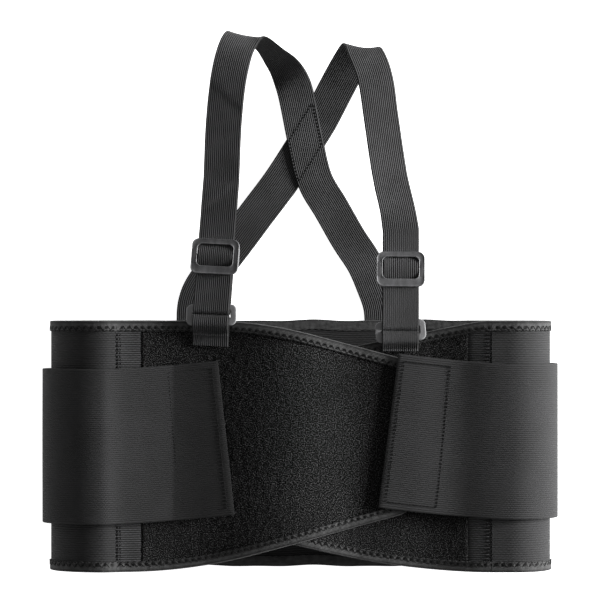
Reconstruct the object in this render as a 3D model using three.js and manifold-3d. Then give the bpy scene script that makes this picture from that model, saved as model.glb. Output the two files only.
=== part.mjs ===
// Back brace: an elastic waist belt with two overlapping pile-faced front panels, two outer
// pull bands with hook patches, and two shoulder straps that cross at the back.
// The belt lies closed and flat on its back. +X is to the right as seen from above, +Y runs
// towards the shoulders, +Z is up, and the underside rests at z = 0. Millimetres throughout.
import * as THREE from 'three';
import { mergeVertices } from 'three/addons/utils/BufferGeometryUtils.js';
import Module from 'manifold-3d';

const wasm = await Module();
wasm.setup();

// ---- driving dimensions ----
const GAP = 0.3;                  // clearance between neighbouring pieces
const BELT_TOP = -19;             // the belt body is 217 tall, measured along Y
const BELT_BOTTOM = -236;
const BELT_MIDDLE = (BELT_TOP + BELT_BOTTOM) / 2;
const BODY_THICKNESS = 2.4;       // ribbed body elastic
const BACK_HEIGHT = 3.8;          // middle of the back panel's thickness
const RIDGE_HEIGHT = 80;          // middle of the front where it meets the sides
const FRONT_SAG = 17;             // how far the front dips beside the left ridge
const LEFT_RUN = 38;              // it has dipped by two thirds this far in from the left ridge
const RIGHT_RUN = 85;             // and fully this far in from the right ridge
const RIDGE_FLAT = 3;             // the front is level this far in from the right bend
// where the front panels overlap the front stands up in a bulge, higher on its left
const BULGE = { at: -5, left: 110, right: 60, height: 15, rest: 6.5 };
const PANEL_BACKING = [-1.7, -0.1];
const PANEL_PILE = [0.2, 1.8];
const PANEL_HOOK = [-3.4, -2.0];
const CLOSURE_HOOK = { places: [35, 88], inset: 18 };
const CORNER = 14;                // radius of the front panels' corners
const PANEL_STEPS = 22;           // straight stretches of a front panel from its seam to the corner
const BINDING_WIDTH = 8;          // edge binding, from the panel's edge inwards
const BINDING_SKIN = 0.7;
const BAND_HALF = 67.5;           // the pull bands are 135 tall
const BAND_THICKNESS = 1.8;
const BAND_CLEARANCE = 6.1;       // pull band above the body at the ridge
const BAND_HOOK = [-2.2, -1.2];
const BAND_REAR_END = 12;         // inner ends of the bands, either side of the spine
const HOOK_INSET = 4;             // the hook patches stop this far inside the bands' edges
const HINGE_ANGLE = 0.4;          // degrees between a band's two pieces at the side
const STRAP_WIDTH = 32;
const STRAP_THICKNESS = 1.2;
const STRAP_TILT = 10;            // degrees the front straps slope down from the belt
const STRAP_OFFSET = 3.2;         // strap layers above and below the ring's plane
const WRAP_CENTRE = 3.8;          // where the strap turns round the ring's upper bar
const LOW_END = WRAP_CENTRE + 6;  // the strap's sewn end and the return layer meet here
// A tab's layers lie offset above and below the ring's plane and turn at centre round its lower
// bar. They come down on the panel seat above the binding, lap from their sewn end or drop below
// the ring, whichever is further down. The top layer levels out at high, the bottom one at low.
const TAB = {
  offset: 2.6, centre: -3.55, seat: 0.4, lap: 7, drop: 15, high: -10.55, high_offset: 2.4, low: -8.55,
};
const SHOULDER_GAP = 0.0006;      // part of a strap's free length between its two nodes
const STAY_PLACES = [-84, -28, 28, 84];
const STAY = { width: 12, thickness: 1.2, length: 168 };
const CHANNEL = { wall: 0.7, flange: 11, play: 0.6, spare: 4 };   // fabric tunnels over the stays
const RING = {
  width: 44, height: 18.5, thickness: 2.4, radius: 5,
  hole_width: 33.4, hole_height: 8, hole_radius: 2,
};
// The slider's frame lies above the strap and its middle bar below; rails join the two.
const SLIDER = {
  width: 42, height: 31, radius: 6, bar: 5, side: 5.2, hole_radius: 2.5,
  frame: [4.2, 6.6], middle: [-0.5, 1.9], middle_width: 5, middle_length: 41,
  rail: 4, rail_length: 18, rail_inset: 0.3, rail_recess: 0.1,
};

// Each side of the belt: sign is -1 left, +1 right. Heights and slopes are set per side,
// because the left front panel lies on top of the right one and the bands are not quite level.
const LEFT = {
  name: 'left', sign: -1, bend: -170, reach: 48, band_reach: 56, seam: -161, pile: -138.5,
  tip: 100, lift: 5.7, lift_run: 70, straight: 121,
  top_edge: { from: -79, ease: 88, slope: 0.265 },
  bottom_edge: { from: -150, ease: 106, slope: 0.27 },
  band: {
    tip: -64.1, lift: 10.6, lift_from: 0, lift_to: 90, middle: -127.6, rise: 7.9, hook_from: -111,
    splits_at_seam: true,
  },
  ring: { x: -77, y: -13, z: 79.8, heading: -2.76, turn: 3 },
  slider_at: 50.8, tab_end: -40,
};
const RIGHT = {
  name: 'right', sign: 1, bend: 185, reach: 34, band_reach: 41, seam: 167, pile: 147,
  tip: -70, lift: 0, lift_run: 70, straight: 89,
  top_edge: { from: 167, ease: 18, slope: 0.2 },
  bottom_edge: { from: 165, ease: 140, slope: 0.24 },
  band: {
    tip: 76.8, lift: 11.4, lift_from: 38, lift_to: 84, middle: -123, rise: 9.5, hook_from: 126,
    splits_at_seam: false,
  },
  ring: { x: 87.5, y: -27, z: 75.9, heading: -0.4, turn: 5 },
  slider_at: 53.8, tab_end: -44.5,
};

// Shoulder straps: middle of the webbing, then the heading and roll of its width in degrees,
// from above the slider over the shoulder to the back panel. The front half ends at the shoulder.
const FLAT = STRAP_THICKNESS / 2 + 0.03;   // middle of webbing that lies on the resting plane
LEFT.shoulder = [-49, 234, 34, -11.5, 1];
LEFT.strap = [
  [-66.6, 158.4, 56, 3, 8], [-61.8, 200.6, 51, -1, 7], [-55, 225.5, 43, -9, 3], LEFT.shoulder,
  [-44.5, 232.2, 25, -2, 40], [-34, 228.6, 19, 30, 64], [-23, 217, 14.6, 36, 53],
  [-13.2, 206, 9.8, 21, 30],
  [-5.5, 190, 5.4, 14, 6], [-1.8, 174.7, 4.4, 13, 0], [4, 145.6, 3.2, 14, 0], [13.6, 106, 2.4, 20, 0],
  [27.3, 82.7, 1.4, 29, 0], [43.6, 54.1, 0.7, 31, 0], [57.2, 33.4, FLAT, 32, 0], [66, 13.2, FLAT, 20, 0],
  [72.2, -4.4, FLAT, 10, 0], [73.5, -17.6, FLAT, 0, 0], [73.5, -43, FLAT, 0, 0],
];
RIGHT.shoulder = [54.2, 223.7, 31, -9, 0];
RIGHT.strap = [
  [85.6, 78, 60.2, 6, -12], [79.2, 106.5, 56, 9, -15], [71.3, 160, 51.5, 8, -15],
  [66, 196, 46, 6, -11], [59.5, 215, 39, -3, -4], RIGHT.shoulder, [51, 221, 22, -14, -4],
  [44, 210, 12.5, -22, -8], [33.3, 190.5, 5, -27, -2], [24.3, 173, 2.3, -28, 0],
  [16.7, 158.8, 1.1, -29, 0], [7, 143.4, 0.7, -31, 0], [-16.7, 106.3, FLAT, -34, 0],
  [-39.6, 75.7, FLAT, -36, 0], [-58, 51, FLAT, -35, 0], [-78.3, 24.6, FLAT, -34, 0],
  [-89.8, 7, FLAT, -26, 0], [-93.7, -6.2, FLAT, -8, 0], [-94.2, -17.6, FLAT, 0, 0],
  [-94, -43, FLAT, 0, 0],
];

// ---- materials ----
const COLOURS = {
  body_elastic: [0x1b1b1c, 0.85], pull_elastic: [0x232324, 0.85], pile: [0x0e0e0f, 0.95],
  hook: [0x151516, 0.8], binding: [0x202021, 0.85], webbing: [0x252526, 0.8],
  plastic: [0x2d2d2f, 0.45], stay: [0x4a4c50, 0.5],
};
const materials = {};
for (const [name, [color, roughness]] of Object.entries(COLOURS)) {
  materials[name] = new THREE.MeshStandardMaterial({ name, color, roughness, metalness: 0 });
}

// ---- geometry helpers ----
const radians = THREE.MathUtils.degToRad;
const smooth = THREE.MathUtils.smoothstep;
const UP_BELT = new THREE.Vector3(0, 1, 0);

// evenly spaced numbers, both ends included
function spread(from, to, steps) {
  return Array.from({ length: steps + 1 }, (_, i) => from + (to - from) * i / steps);
}

function signedVolume(points, triangles) {
  let total = 0;
  for (let i = 0; i < triangles.length; i += 3) {
    const [p, q, r] = [0, 1, 2].map((k) => points[triangles[i + k]]);
    total += p.dot(new THREE.Vector3().crossVectors(q, r));
  }
  return total / 6;
}

// A closed skin through a row of stations. A station is an origin and two directions, and its
// section is a closed outline of [along first, along second] pairs, the same count at each.
function loft(stations) {
  const count = stations[0].section.length;
  const points = [];
  for (const { origin, across, through, section } of stations) {
    for (const [u, v] of section) {
      points.push(origin.clone().addScaledVector(across, u).addScaledVector(through, v));
    }
  }
  const triangles = [];
  for (let i = 0; i + 1 < stations.length; i++) {
    for (let j = 0; j < count; j++) {
      const near = i * count + j;
      const next = i * count + (j + 1) % count;
      triangles.push(near, next, next + count, near, next + count, near + count);
    }
  }
  const last = (stations.length - 1) * count;
  const cap = (station) => THREE.ShapeUtils.triangulateShape(
    station.section.map(([u, v]) => new THREE.Vector2(u, v)), []);
  for (const [p, q, r] of cap(stations[0])) triangles.push(r, q, p);
  for (const [p, q, r] of cap(stations.at(-1))) triangles.push(last + p, last + q, last + r);
  if (signedVolume(points, triangles) < 0) triangles.reverse();
  const geometry = new THREE.BufferGeometry().setFromPoints(points);
  geometry.setIndex(triangles);
  geometry.computeVertexNormals();
  return geometry;
}

// anticlockwise rectangle between two edges and two faces
function slab([low, high], [inner, outer]) {
  return [[low, inner], [high, inner], [high, outer], [low, outer]];
}

function asSolid(geometry) {
  const bare = geometry.clone();
  bare.deleteAttribute('normal');
  bare.deleteAttribute('uv');
  const welded = mergeVertices(bare, 1e-4);
  return new wasm.Manifold(new wasm.Mesh({
    numProp: 3,
    vertProperties: Float32Array.from(welded.attributes.position.array),
    triVerts: Uint32Array.from(welded.index.array),
  }));
}

function asGeometry(solid) {
  const { vertProperties, triVerts } = solid.getMesh();
  const geometry = new THREE.BufferGeometry();
  geometry.setAttribute('position', new THREE.BufferAttribute(Float32Array.from(vertProperties), 3));
  geometry.setIndex(Array.from(triVerts));
  geometry.computeVertexNormals();
  return geometry;
}

function joined(...geometries) {
  return asGeometry(geometries.map(asSolid).reduce((whole, piece) => whole.add(piece)));
}

// ---- the belt's shape in the XZ plane ----
function bulge(x) {
  const away = x - BULGE.at;
  const rest = away < 0 ? 0 : BULGE.rest;
  const part = Math.min(1, away < 0 ? -away / BULGE.left : away / BULGE.right);
  return rest + (BULGE.height - rest) * (1 + Math.cos(Math.PI * part)) / 2;
}

function sag(x) {
  const from_left = 1 - Math.exp(-Math.max(0, x - LEFT.bend) / LEFT_RUN);
  const from_right = smooth(RIGHT.bend + RIDGE_FLAT - x, 0, RIGHT_RUN);
  return RIDGE_HEIGHT - (FRONT_SAG - bulge(x)) * from_left * from_right;
}

function frontHeight(side, x) {
  return sag(x) + side.lift * smooth(Math.abs(x - side.seam), 0, side.lift_run);
}

function bandHeight(side, x) {
  const ramp = smooth(Math.abs(x - side.bend), side.band.lift_from, side.band.lift_to);
  return sag(x) + BAND_CLEARANCE + (side.band.lift - BAND_CLEARANCE) * ramp;
}

// the side's round bend as [x, z] points, from angle to angle: -90 below, 0 outermost, 90 above
function bend(side, reach, low, high, from, to, steps) {
  const middle = (low + high) / 2;
  return spread(from, to, steps).map((angle) => [
    side.bend + side.sign * reach * Math.cos(radians(angle)),
    middle + (high - low) / 2 * Math.sin(radians(angle)),
  ]);
}

// Stations along [x, z] points: across is up the belt, through is the outward normal. outward
// is +1 where the points run from the left over the bottom to the right.
function along(points, outward) {
  return points.map(([x, z], i) => {
    const [x0, z0] = points[Math.max(i - 1, 0)];
    const [x1, z1] = points[Math.min(i + 1, points.length - 1)];
    const heading = new THREE.Vector3(x1 - x0, 0, z1 - z0).normalize();
    const normal = new THREE.Vector3(heading.z * outward, 0, -heading.x * outward);
    return { origin: new THREE.Vector3(x, 0, z), across: UP_BELT, through: normal, heading };
  });
}

function bodyPoints() {
  const low = BACK_HEIGHT;
  const high = RIDGE_HEIGHT;
  return [
    [LEFT.seam, sag(LEFT.seam)],
    ...bend(LEFT, LEFT.reach, low, high, 90, -90, 14), [LEFT.bend + 1, low],
    [RIGHT.bend - 1, low], ...bend(RIGHT, RIGHT.reach, low, high, -90, 90, 14),
    [RIGHT.seam, sag(RIGHT.seam)],
  ];
}

// ---- back of the belt ----
function backPanel() {
  const section = slab([BELT_BOTTOM, BELT_TOP], [-BODY_THICKNESS / 2, BODY_THICKNESS / 2]);
  return loft(along(bodyPoints(), 1).map((station) => ({ ...station, section })));
}

// U-shaped section of the binding: first coordinate inwards from the edge, second through
function bindingSection(inner, outer) {
  const back = inner - GAP - BINDING_SKIN;
  const front = outer + GAP + BINDING_SKIN;
  return [
    [-GAP - BINDING_SKIN, back], [BINDING_WIDTH, back], [BINDING_WIDTH, back + BINDING_SKIN],
    [-GAP, back + BINDING_SKIN], [-GAP, front - BINDING_SKIN], [BINDING_WIDTH, front - BINDING_SKIN],
    [BINDING_WIDTH, front], [-GAP - BINDING_SKIN, front],
  ];
}

function backBinding(edge, inwards) {
  const half = BODY_THICKNESS / 2;
  const section = bindingSection(-half, half).map(([u, v]) => [edge + inwards * u, v]);
  if (inwards < 0) section.reverse();
  return loft(along(bodyPoints(), 1).map((station) => ({ ...station, section })));
}

function stayGeometry() {
  return new THREE.BoxGeometry(STAY.width, STAY.length, STAY.thickness);
}

// fabric tunnel over a stay: two flanges on the back panel and a raised roof
function channelGeometry() {
  const { wall, flange } = CHANNEL;
  const inner = STAY.width / 2 + CHANNEL.play;
  const outer = inner + wall;
  const roof = STAY.thickness + GAP;
  const outline = new THREE.Shape([
    [-flange, 0], [-inner, 0], [-inner, roof], [inner, roof], [inner, 0], [flange, 0],
    [flange, wall], [outer, wall], [outer, roof + wall], [-outer, roof + wall], [-outer, wall],
    [-flange, wall],
  ].map(([x, y]) => new THREE.Vector2(x, y)));
  const length = STAY.length + 2 * CHANNEL.spare;
  const tunnel = new THREE.ExtrudeGeometry(outline, { depth: length, bevelEnabled: false });
  return tunnel.rotateX(Math.PI / 2).translate(0, length / 2, 0);
}

// ---- front panels ----
function edgeDrop({ from, ease, slope }, side, x) {
  const past = Math.max(0, -side.sign * (x - from));
  return past < ease ? slope * past * past / (2 * ease) : slope * (past - ease / 2);
}

// how far the rounded corner takes off the panel's height at x
function cornerDrop(side, x) {
  const into = CORNER - side.sign * (x - side.tip);
  return into <= 0 ? 0 : CORNER - Math.sqrt(Math.max(0, CORNER ** 2 - into ** 2));
}

function topEdge(side, x) {
  return BELT_TOP - edgeDrop(side.top_edge, side, x) - cornerDrop(side, x);
}

function bottomEdge(side, x) {
  return BELT_BOTTOM + edgeDrop(side.bottom_edge, side, x) + cornerDrop(side, x);
}

function cornerPlaces(side, steps) {
  return spread(0, 90, steps).map((angle) =>
    side.tip + side.sign * CORNER * (1 - Math.sin(radians(angle))));
}

// x of every station from start to the tip, closer together round the corner. Layers share
// their stations, so that each one follows the next at the same distance.
function panelPlaces(side, start) {
  const corner = side.tip + side.sign * CORNER;
  const shared = spread(side.seam, corner, PANEL_STEPS).slice(0, -1);
  return [start, ...shared.filter((x) => side.sign * (start - x) > 1), ...cornerPlaces(side, 5)];
}

// angle of the panel's surface at x, in radians
function panelSlope(side, x) {
  const step = 0.5;
  return Math.atan2(frontHeight(side, x + step) - frontHeight(side, x - step), 2 * step);
}

function panelStation(side, x) {
  const slope = panelSlope(side, x);
  const heading = new THREE.Vector3(Math.cos(slope), 0, Math.sin(slope));
  return {
    origin: new THREE.Vector3(x, 0, frontHeight(side, x)), across: UP_BELT, heading,
    through: new THREE.Vector3(-heading.z, 0, heading.x),
  };
}

function panelLayer(side, start, end, layer, inset) {
  const places = panelPlaces(side, start).filter((x) => side.sign * (x - end) >= -1e-6);
  return loft(places.map((x) => ({
    ...panelStation(side, x),
    section: slab([bottomEdge(side, x) + inset, topEdge(side, x) - inset], layer),
  })));
}

// closed U of binding along the top edge, round the tip and back along the bottom edge
function frontBinding(side) {
  const start = side.seam - side.sign * GAP;
  const places = panelPlaces(side, start);
  const outline = [
    ...places.map((x) => [x, topEdge(side, x)]),
    ...places.toReversed().map((x) => [x, bottomEdge(side, x)]),
  ];
  const section = bindingSection(PANEL_BACKING[0], PANEL_PILE[1]);
  return loft(outline.map(([x, y], i) => {
    const [x0, y0] = outline[Math.max(i - 1, 0)];
    const [x1, y1] = outline[Math.min(i + 1, outline.length - 1)];
    const isEnd = i === 0 || i === outline.length - 1;
    const tangent = new THREE.Vector2(x1 - x0, isEnd ? 0 : y1 - y0).normalize();
    const station = panelStation(side, x);
    const inwards = station.heading.clone().multiplyScalar(-side.sign * tangent.y);
    inwards.addScaledVector(UP_BELT, side.sign * tangent.x).normalize();
    return { origin: station.origin.setY(y), across: inwards, through: station.through, section };
  }));
}

// ---- pull bands ----
const BAND_LAYER = [-BAND_THICKNESS / 2, BAND_THICKNESS / 2];
const BAND_LOW = BAND_THICKNESS / 2;
const BAND_HIGH = RIDGE_HEIGHT + BAND_CLEARANCE;
const FRONT_LEVEL = RIDGE_HEIGHT - FRONT_SAG;   // a band above this level lies on the front

// height of the band's middle line at x, and how steeply the band turns up towards its tip
function bandCourse(side, x) {
  const run = Math.abs(side.band.tip - side.bend);
  const part = Math.max(0, side.sign * (side.bend - x) / run);
  return {
    y: side.band.middle + side.band.rise * part ** 1.5,
    slope: -side.sign * 1.5 * side.band.rise * Math.sqrt(part) / run,
  };
}

function bandStrip(side, points, layer, half) {
  const outward = -side.sign;
  return loft(along(points, outward).map((station) => {
    const isFront = station.origin.z > FRONT_LEVEL;
    const course = isFront ? bandCourse(side, station.origin.x) : { y: side.band.middle, slope: 0 };
    const tilt = Math.atan(course.slope);
    const heading = station.heading.clone().multiplyScalar(Math.sign(station.heading.x) || 1);
    const across = UP_BELT.clone().multiplyScalar(Math.cos(tilt));
    across.addScaledVector(heading, -Math.sin(tilt));
    const origin = station.origin.clone().setY(course.y);
    return { origin, across, through: station.through, section: slab([-half, half], layer) };
  }));
}

function bandBend(side, from, to, steps) {
  return bend(side, side.band_reach, BAND_LOW, BAND_HIGH, from, to, steps);
}

function bandFront(side, from, to, steps) {
  return spread(from, to, steps).map((x) => [x, bandHeight(side, x)]);
}

// from the spine along the back, and round the side as far as the outer piece's hinge line
function bandRear(side) {
  const start = [[side.sign * BAND_REAR_END, BAND_LOW], [side.bend - side.sign, BAND_LOW]];
  const round_side = side.band.splits_at_seam
    ? [...bandBend(side, -90, 90, 16), [side.seam, bandHeight(side, side.seam)]]
    : bandBend(side, -90, 0, 8);
  return bandStrip(side, [...start, ...round_side], BAND_LAYER, BAND_HALF);
}

function bandOuter(side) {
  const points = side.band.splits_at_seam
    ? bandFront(side, side.seam + GAP, side.band.tip, 14)
    : [
      ...bandBend(side, HINGE_ANGLE, 90, 8),
      ...bandFront(side, side.bend, side.band.tip, 14).slice(1),
    ];
  return bandStrip(side, points, BAND_LAYER, BAND_HALF);
}

function bandHook(side) {
  const points = bandFront(side, side.band.hook_from, side.band.tip + side.sign * HOOK_INSET, 5);
  return bandStrip(side, points, BAND_HOOK, BAND_HALF - HOOK_INSET);
}

// ---- straps and their hardware ----
// Frame of a front strap: u across, v along the strap away from the belt, w out of its face,
// with its origin at the middle of the ring. It leans with the panel's slope there.
function strapFrame(side) {
  const { x, y, z, heading } = side.ring;
  const frame = new THREE.Group();
  frame.position.set(x, y, z);
  frame.rotation.set(radians(-STRAP_TILT), -panelSlope(side, x), radians(heading), 'ZYX');
  frame.updateMatrixWorld();
  return frame;
}

const HALF_STRAP = STRAP_THICKNESS / 2;
const WEBBING_SECTION = slab([-STRAP_WIDTH / 2, STRAP_WIDTH / 2], [-HALF_STRAP, HALF_STRAP]);

// one section of webbing, its width levelled to stand square to the heading
function ribbonStation(origin, across, heading) {
  const level = across.clone().addScaledVector(heading, -across.dot(heading)).normalize();
  const through = new THREE.Vector3().crossVectors(heading, level);
  return { origin, across: level, through, section: WEBBING_SECTION };
}

// webbing through points in the strap's frame, each [v, w]
function framedRibbon(side, points) {
  const { matrixWorld } = strapFrame(side);
  const across = new THREE.Vector3(1, 0, 0).transformDirection(matrixWorld);
  const centres = points.map(([v, w]) => new THREE.Vector3(0, v, w).applyMatrix4(matrixWorld));
  return centres.map((origin, i) => {
    const before = centres[Math.max(i - 1, 0)];
    const after = centres[Math.min(i + 1, centres.length - 1)];
    return ribbonStation(origin, across, new THREE.Vector3().subVectors(after, before).normalize());
  });
}

// a strap's free run, from its straight front stretch to the back panel: [x, y, z, heading, roll]
function freeRows(side) {
  const front = new THREE.Vector3(0, side.straight, STRAP_OFFSET);
  front.applyMatrix4(strapFrame(side).matrixWorld);
  const lean = THREE.MathUtils.radToDeg(panelSlope(side, side.ring.x));
  return [[...front.toArray(), -side.ring.heading, lean], ...side.strap];
}

// where the shoulder lies along the free run, from 0 at the front to 1 at the back
function shoulderPart(side) {
  return (side.strap.indexOf(side.shoulder) + 1) / side.strap.length;
}

// webbing of the free run between two parts of its length
function freeRibbon(side, from, to, steps) {
  const rows = freeRows(side);
  const middle = new THREE.CatmullRomCurve3(rows.map(([x, y, z]) => new THREE.Vector3(x, y, z)));
  const turns = new THREE.CatmullRomCurve3(rows.map((row) => new THREE.Vector3(row[3], row[4], 0)));
  return spread(from, to, steps).map((part) => {
    const { x: heading, y: roll } = turns.getPoint(part);
    const across = new THREE.Vector3(Math.cos(radians(heading)), Math.sin(radians(heading)), 0);
    across.multiplyScalar(Math.cos(radians(roll))).setZ(Math.sin(radians(roll)));
    return ribbonStation(middle.getPoint(part), across, middle.getTangent(part));
  });
}

// half a turn in the plane of v and w, as [v, w] points
function halfTurn(centre, radius, from, to, steps) {
  return spread(from, to, steps).map((angle) => [
    centre + radius * Math.sin(radians(angle)), radius * Math.cos(radians(angle))]);
}

// from under the ring's upper bar, round it, up through the slider and on to the shoulder
function strapFront(side) {
  const wrap = halfTurn(WRAP_CENTRE, STRAP_OFFSET, 180, 360, 8);
  const straight = spread(LOW_END, side.straight, 4).map((v) => [v, STRAP_OFFSET]);
  const framed = framedRibbon(side, [[LOW_END, -STRAP_OFFSET], ...wrap, ...straight]);
  return loft([...framed, ...freeRibbon(side, 0, shoulderPart(side), 14).slice(1)]);
}

// under layer, from the ring up to the slider's middle bar
function strapReturn(side) {
  const places = spread(LOW_END + GAP, side.slider_at + SLIDER.middle_width / 2, 3);
  return loft(framedRibbon(side, places.map((v) => [v, -STRAP_OFFSET])));
}

function strapBack(side) {
  return loft(freeRibbon(side, shoulderPart(side) + SHOULDER_GAP, 1, 37));
}

// webbing tab: both layers sewn to the panel, looped round the ring's lower bar
function tab(side) {
  const inverse = strapFrame(side).matrixWorld.clone().invert();
  const panel_face = frontHeight(side, side.ring.x) + PANEL_PILE[1];
  const surface = panel_face + GAP + BINDING_SKIN + TAB.seat;
  const seat = (y, layer) => {
    const height = surface + STRAP_THICKNESS * (layer + 0.5) + GAP * layer;
    const point = new THREE.Vector3(side.ring.x, y, height).applyMatrix4(inverse);
    return [point.y, point.z];
  };
  const landing = Math.min(side.tab_end + TAB.lap, side.ring.y - TAB.drop);
  return loft(framedRibbon(side, [
    seat(side.tab_end, 1), seat(landing, 1), [TAB.high, TAB.high_offset],
    ...halfTurn(TAB.centre, TAB.offset, 0, 180, 8),
    [TAB.low, -TAB.offset], seat(landing, 0), seat(side.tab_end, 0),
  ]));
}

function roundedOutline(width, height, radius, Kind) {
  const outline = new Kind();
  const [x, y] = [width / 2 - radius, height / 2 - radius];
  outline.absarc(x, y, radius, 0, Math.PI / 2);
  outline.absarc(-x, y, radius, Math.PI / 2, Math.PI);
  outline.absarc(-x, -y, radius, Math.PI, 1.5 * Math.PI);
  outline.absarc(x, -y, radius, 1.5 * Math.PI, 2 * Math.PI);
  return outline;
}

// flat plate with a hole, between two heights
function plate(outer, hole, [low, high]) {
  const outline = roundedOutline(...outer, THREE.Shape);
  outline.holes.push(roundedOutline(...hole, THREE.Path));
  const shape = { depth: high - low, bevelEnabled: false, curveSegments: 4 };
  return new THREE.ExtrudeGeometry(outline, shape).translate(0, 0, low);
}

// box between two heights, x off to one side
function block(width, length, [low, high], x = 0) {
  return new THREE.BoxGeometry(width, length, high - low).translate(x, 0, (low + high) / 2);
}

function ringGeometry() {
  const outer = [RING.width, RING.height, RING.radius];
  const hole = [RING.hole_width, RING.hole_height, RING.hole_radius];
  return plate(outer, hole, [-RING.thickness / 2, RING.thickness / 2]);
}

function sliderGeometry() {
  const { width, height, frame, middle } = SLIDER;
  const hole = [width - 2 * SLIDER.side, height - 2 * SLIDER.bar, SLIDER.hole_radius];
  const rim = plate([width, height, SLIDER.radius], hole, frame);
  const rail_height = [middle[0] + SLIDER.rail_recess, frame[1] - SLIDER.rail_recess];
  const rail_at = (width - SLIDER.rail) / 2 - SLIDER.rail_inset;
  const rails = [-rail_at, rail_at].map((x) =>
    block(SLIDER.rail, SLIDER.rail_length, rail_height, x));
  return joined(rim, ...rails, block(SLIDER.middle_length, SLIDER.middle_width, middle));
}

// ---- assembly ----
const brace = new THREE.Group();
brace.name = 'back_brace';

function add(name, geometry, material, parent = brace) {
  const mesh = new THREE.Mesh(geometry, materials[material]);
  mesh.name = name;
  parent.add(mesh);
  return mesh;
}

add('back_panel', backPanel(), 'body_elastic');
add('back_binding_top', backBinding(BELT_TOP, -1), 'binding');
add('back_binding_bottom', backBinding(BELT_BOTTOM, 1), 'binding');
const back_face = BACK_HEIGHT + BODY_THICKNESS / 2 + GAP;
STAY_PLACES.forEach((x, i) => {
  const stay = add(`stay_${i + 1}`, stayGeometry(), 'stay');
  stay.position.set(x, BELT_MIDDLE, back_face + STAY.thickness / 2);
  const channel = add(`stay_channel_${i + 1}`, channelGeometry(), 'binding');
  channel.position.set(x, BELT_MIDDLE, back_face);
});

for (const side of [LEFT, RIGHT]) {
  const { name, sign } = side;
  const start = side.seam - sign * GAP;
  add(`${name}_front_base`, panelLayer(side, start, side.tip, PANEL_BACKING, 0), 'body_elastic');
  add(`${name}_front_pile`, panelLayer(side, side.pile, side.tip, PANEL_PILE, 0), 'pile');
  add(`${name}_front_binding`, frontBinding(side), 'binding');
  add(`${name}_pull_band_rear`, bandRear(side), 'pull_elastic');
  add(`${name}_pull_band`, bandOuter(side), 'pull_elastic');
  add(`${name}_pull_hook`, bandHook(side), 'hook');
  add(`${name}_tab`, tab(side), 'webbing');
  add(`${name}_strap_front`, strapFront(side), 'webbing');
  add(`${name}_strap_return`, strapReturn(side), 'webbing');
  add(`${name}_strap_back`, strapBack(side), 'webbing');
  const frame = strapFrame(side);
  brace.add(frame);
  add(`${name}_ring`, ringGeometry(), 'plastic', frame).rotation.z = radians(side.ring.turn);
  add(`${name}_slider`, sliderGeometry(), 'plastic', frame).position.y = side.slider_at;
}

const [hook_start, hook_end] = CLOSURE_HOOK.places;
const closure = panelLayer(LEFT, hook_start, hook_end, PANEL_HOOK, CLOSURE_HOOK.inset);
add('left_front_hook', closure, 'hook');

export default brace;
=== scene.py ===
import math
from types import SimpleNamespace as Group

import bpy
import numpy as np
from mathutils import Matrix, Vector


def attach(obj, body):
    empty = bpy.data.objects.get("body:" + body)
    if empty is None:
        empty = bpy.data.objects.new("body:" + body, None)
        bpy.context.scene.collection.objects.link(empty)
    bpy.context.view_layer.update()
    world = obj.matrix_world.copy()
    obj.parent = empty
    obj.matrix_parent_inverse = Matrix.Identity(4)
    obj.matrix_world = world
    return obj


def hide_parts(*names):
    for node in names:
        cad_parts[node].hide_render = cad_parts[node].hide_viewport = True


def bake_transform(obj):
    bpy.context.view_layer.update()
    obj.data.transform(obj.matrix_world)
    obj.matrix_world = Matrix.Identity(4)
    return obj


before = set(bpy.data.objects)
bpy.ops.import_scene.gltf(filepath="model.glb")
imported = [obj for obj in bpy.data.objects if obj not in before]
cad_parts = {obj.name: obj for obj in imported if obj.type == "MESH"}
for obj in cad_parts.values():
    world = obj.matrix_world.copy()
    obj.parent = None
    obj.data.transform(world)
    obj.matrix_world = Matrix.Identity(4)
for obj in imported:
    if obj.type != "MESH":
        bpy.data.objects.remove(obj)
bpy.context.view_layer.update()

# ---- shape of the belt, as the frame has it ----
GAP = 0.3  # clearance between pieces that lie on each other
BELT_TOP = -19
BELT_BOTTOM = -236
BODY_HALF = 1.2  # half the body elastic's thickness
BACK_HEIGHT = 3.8
RIDGE_HEIGHT = 80
RIDGE_FLAT = 3  # how far the front stays level inwards of the right bend
FRONT_SAG = 17  # how far the front dips beside the left ridge
LEFT_RUN = 38
RIGHT_RUN = 85
BULGE = Group(at=-5, left=110, right=60, height=15, rest=6.5)  # the fronts' overlap stands up
PANEL_BACKING = (-1.7, -0.1)
PANEL_PILE = (0.2, 1.5)
PANEL_TOP = 1.8  # the pile's face where the binding grips it
PANEL_HOOK = (-3.4, -2.0)
CLOSURE_HOOK = Group(start=35, end=88, inset=18)
STRIP_TOP = 1.15  # the ribbed strip between the seam and the pile is thicker
CORNER = 14
BINDING_WIDTH = 8
BINDING_SKIN = 0.7
BAND_HALF = 67.5
BAND_THICKNESS = 1.8
BAND_CLEARANCE = 6.1
BAND_HOOK = (-2.2, -1.2)
BAND_REAR_END = 12
STRAP_WIDTH = 32
STRAP_THICKNESS = 1.2
STRAP_TILT = 10  # degrees by which a strap slopes down from its ring to the shoulder
STRAP_OFFSET = 3.2
WRAP_CENTRE = 3.8
TAB = Group(offset=2.8, centre=-3.0, seat=0.4, lap=7, drop=15)
STAY_PLACES = (-84, -28, 28, 84)
CHANNEL = Group(roof=6.6, flange=11, rise=1.5, wall=0.7, length=176)
RING = Group(width=44, height=18.5, thickness=2.4, hole_width=33.4, hole_height=8)
SLIDER = Group(width=42, height=31, side=5.2, low=4.2, high=6.6, rail=4, rail_height=18,
               window=19.4, window_shift=1.2, dish=0.8)
CENTRE_BAR = Group(height=5, low=-0.5, high=1.9)

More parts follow.
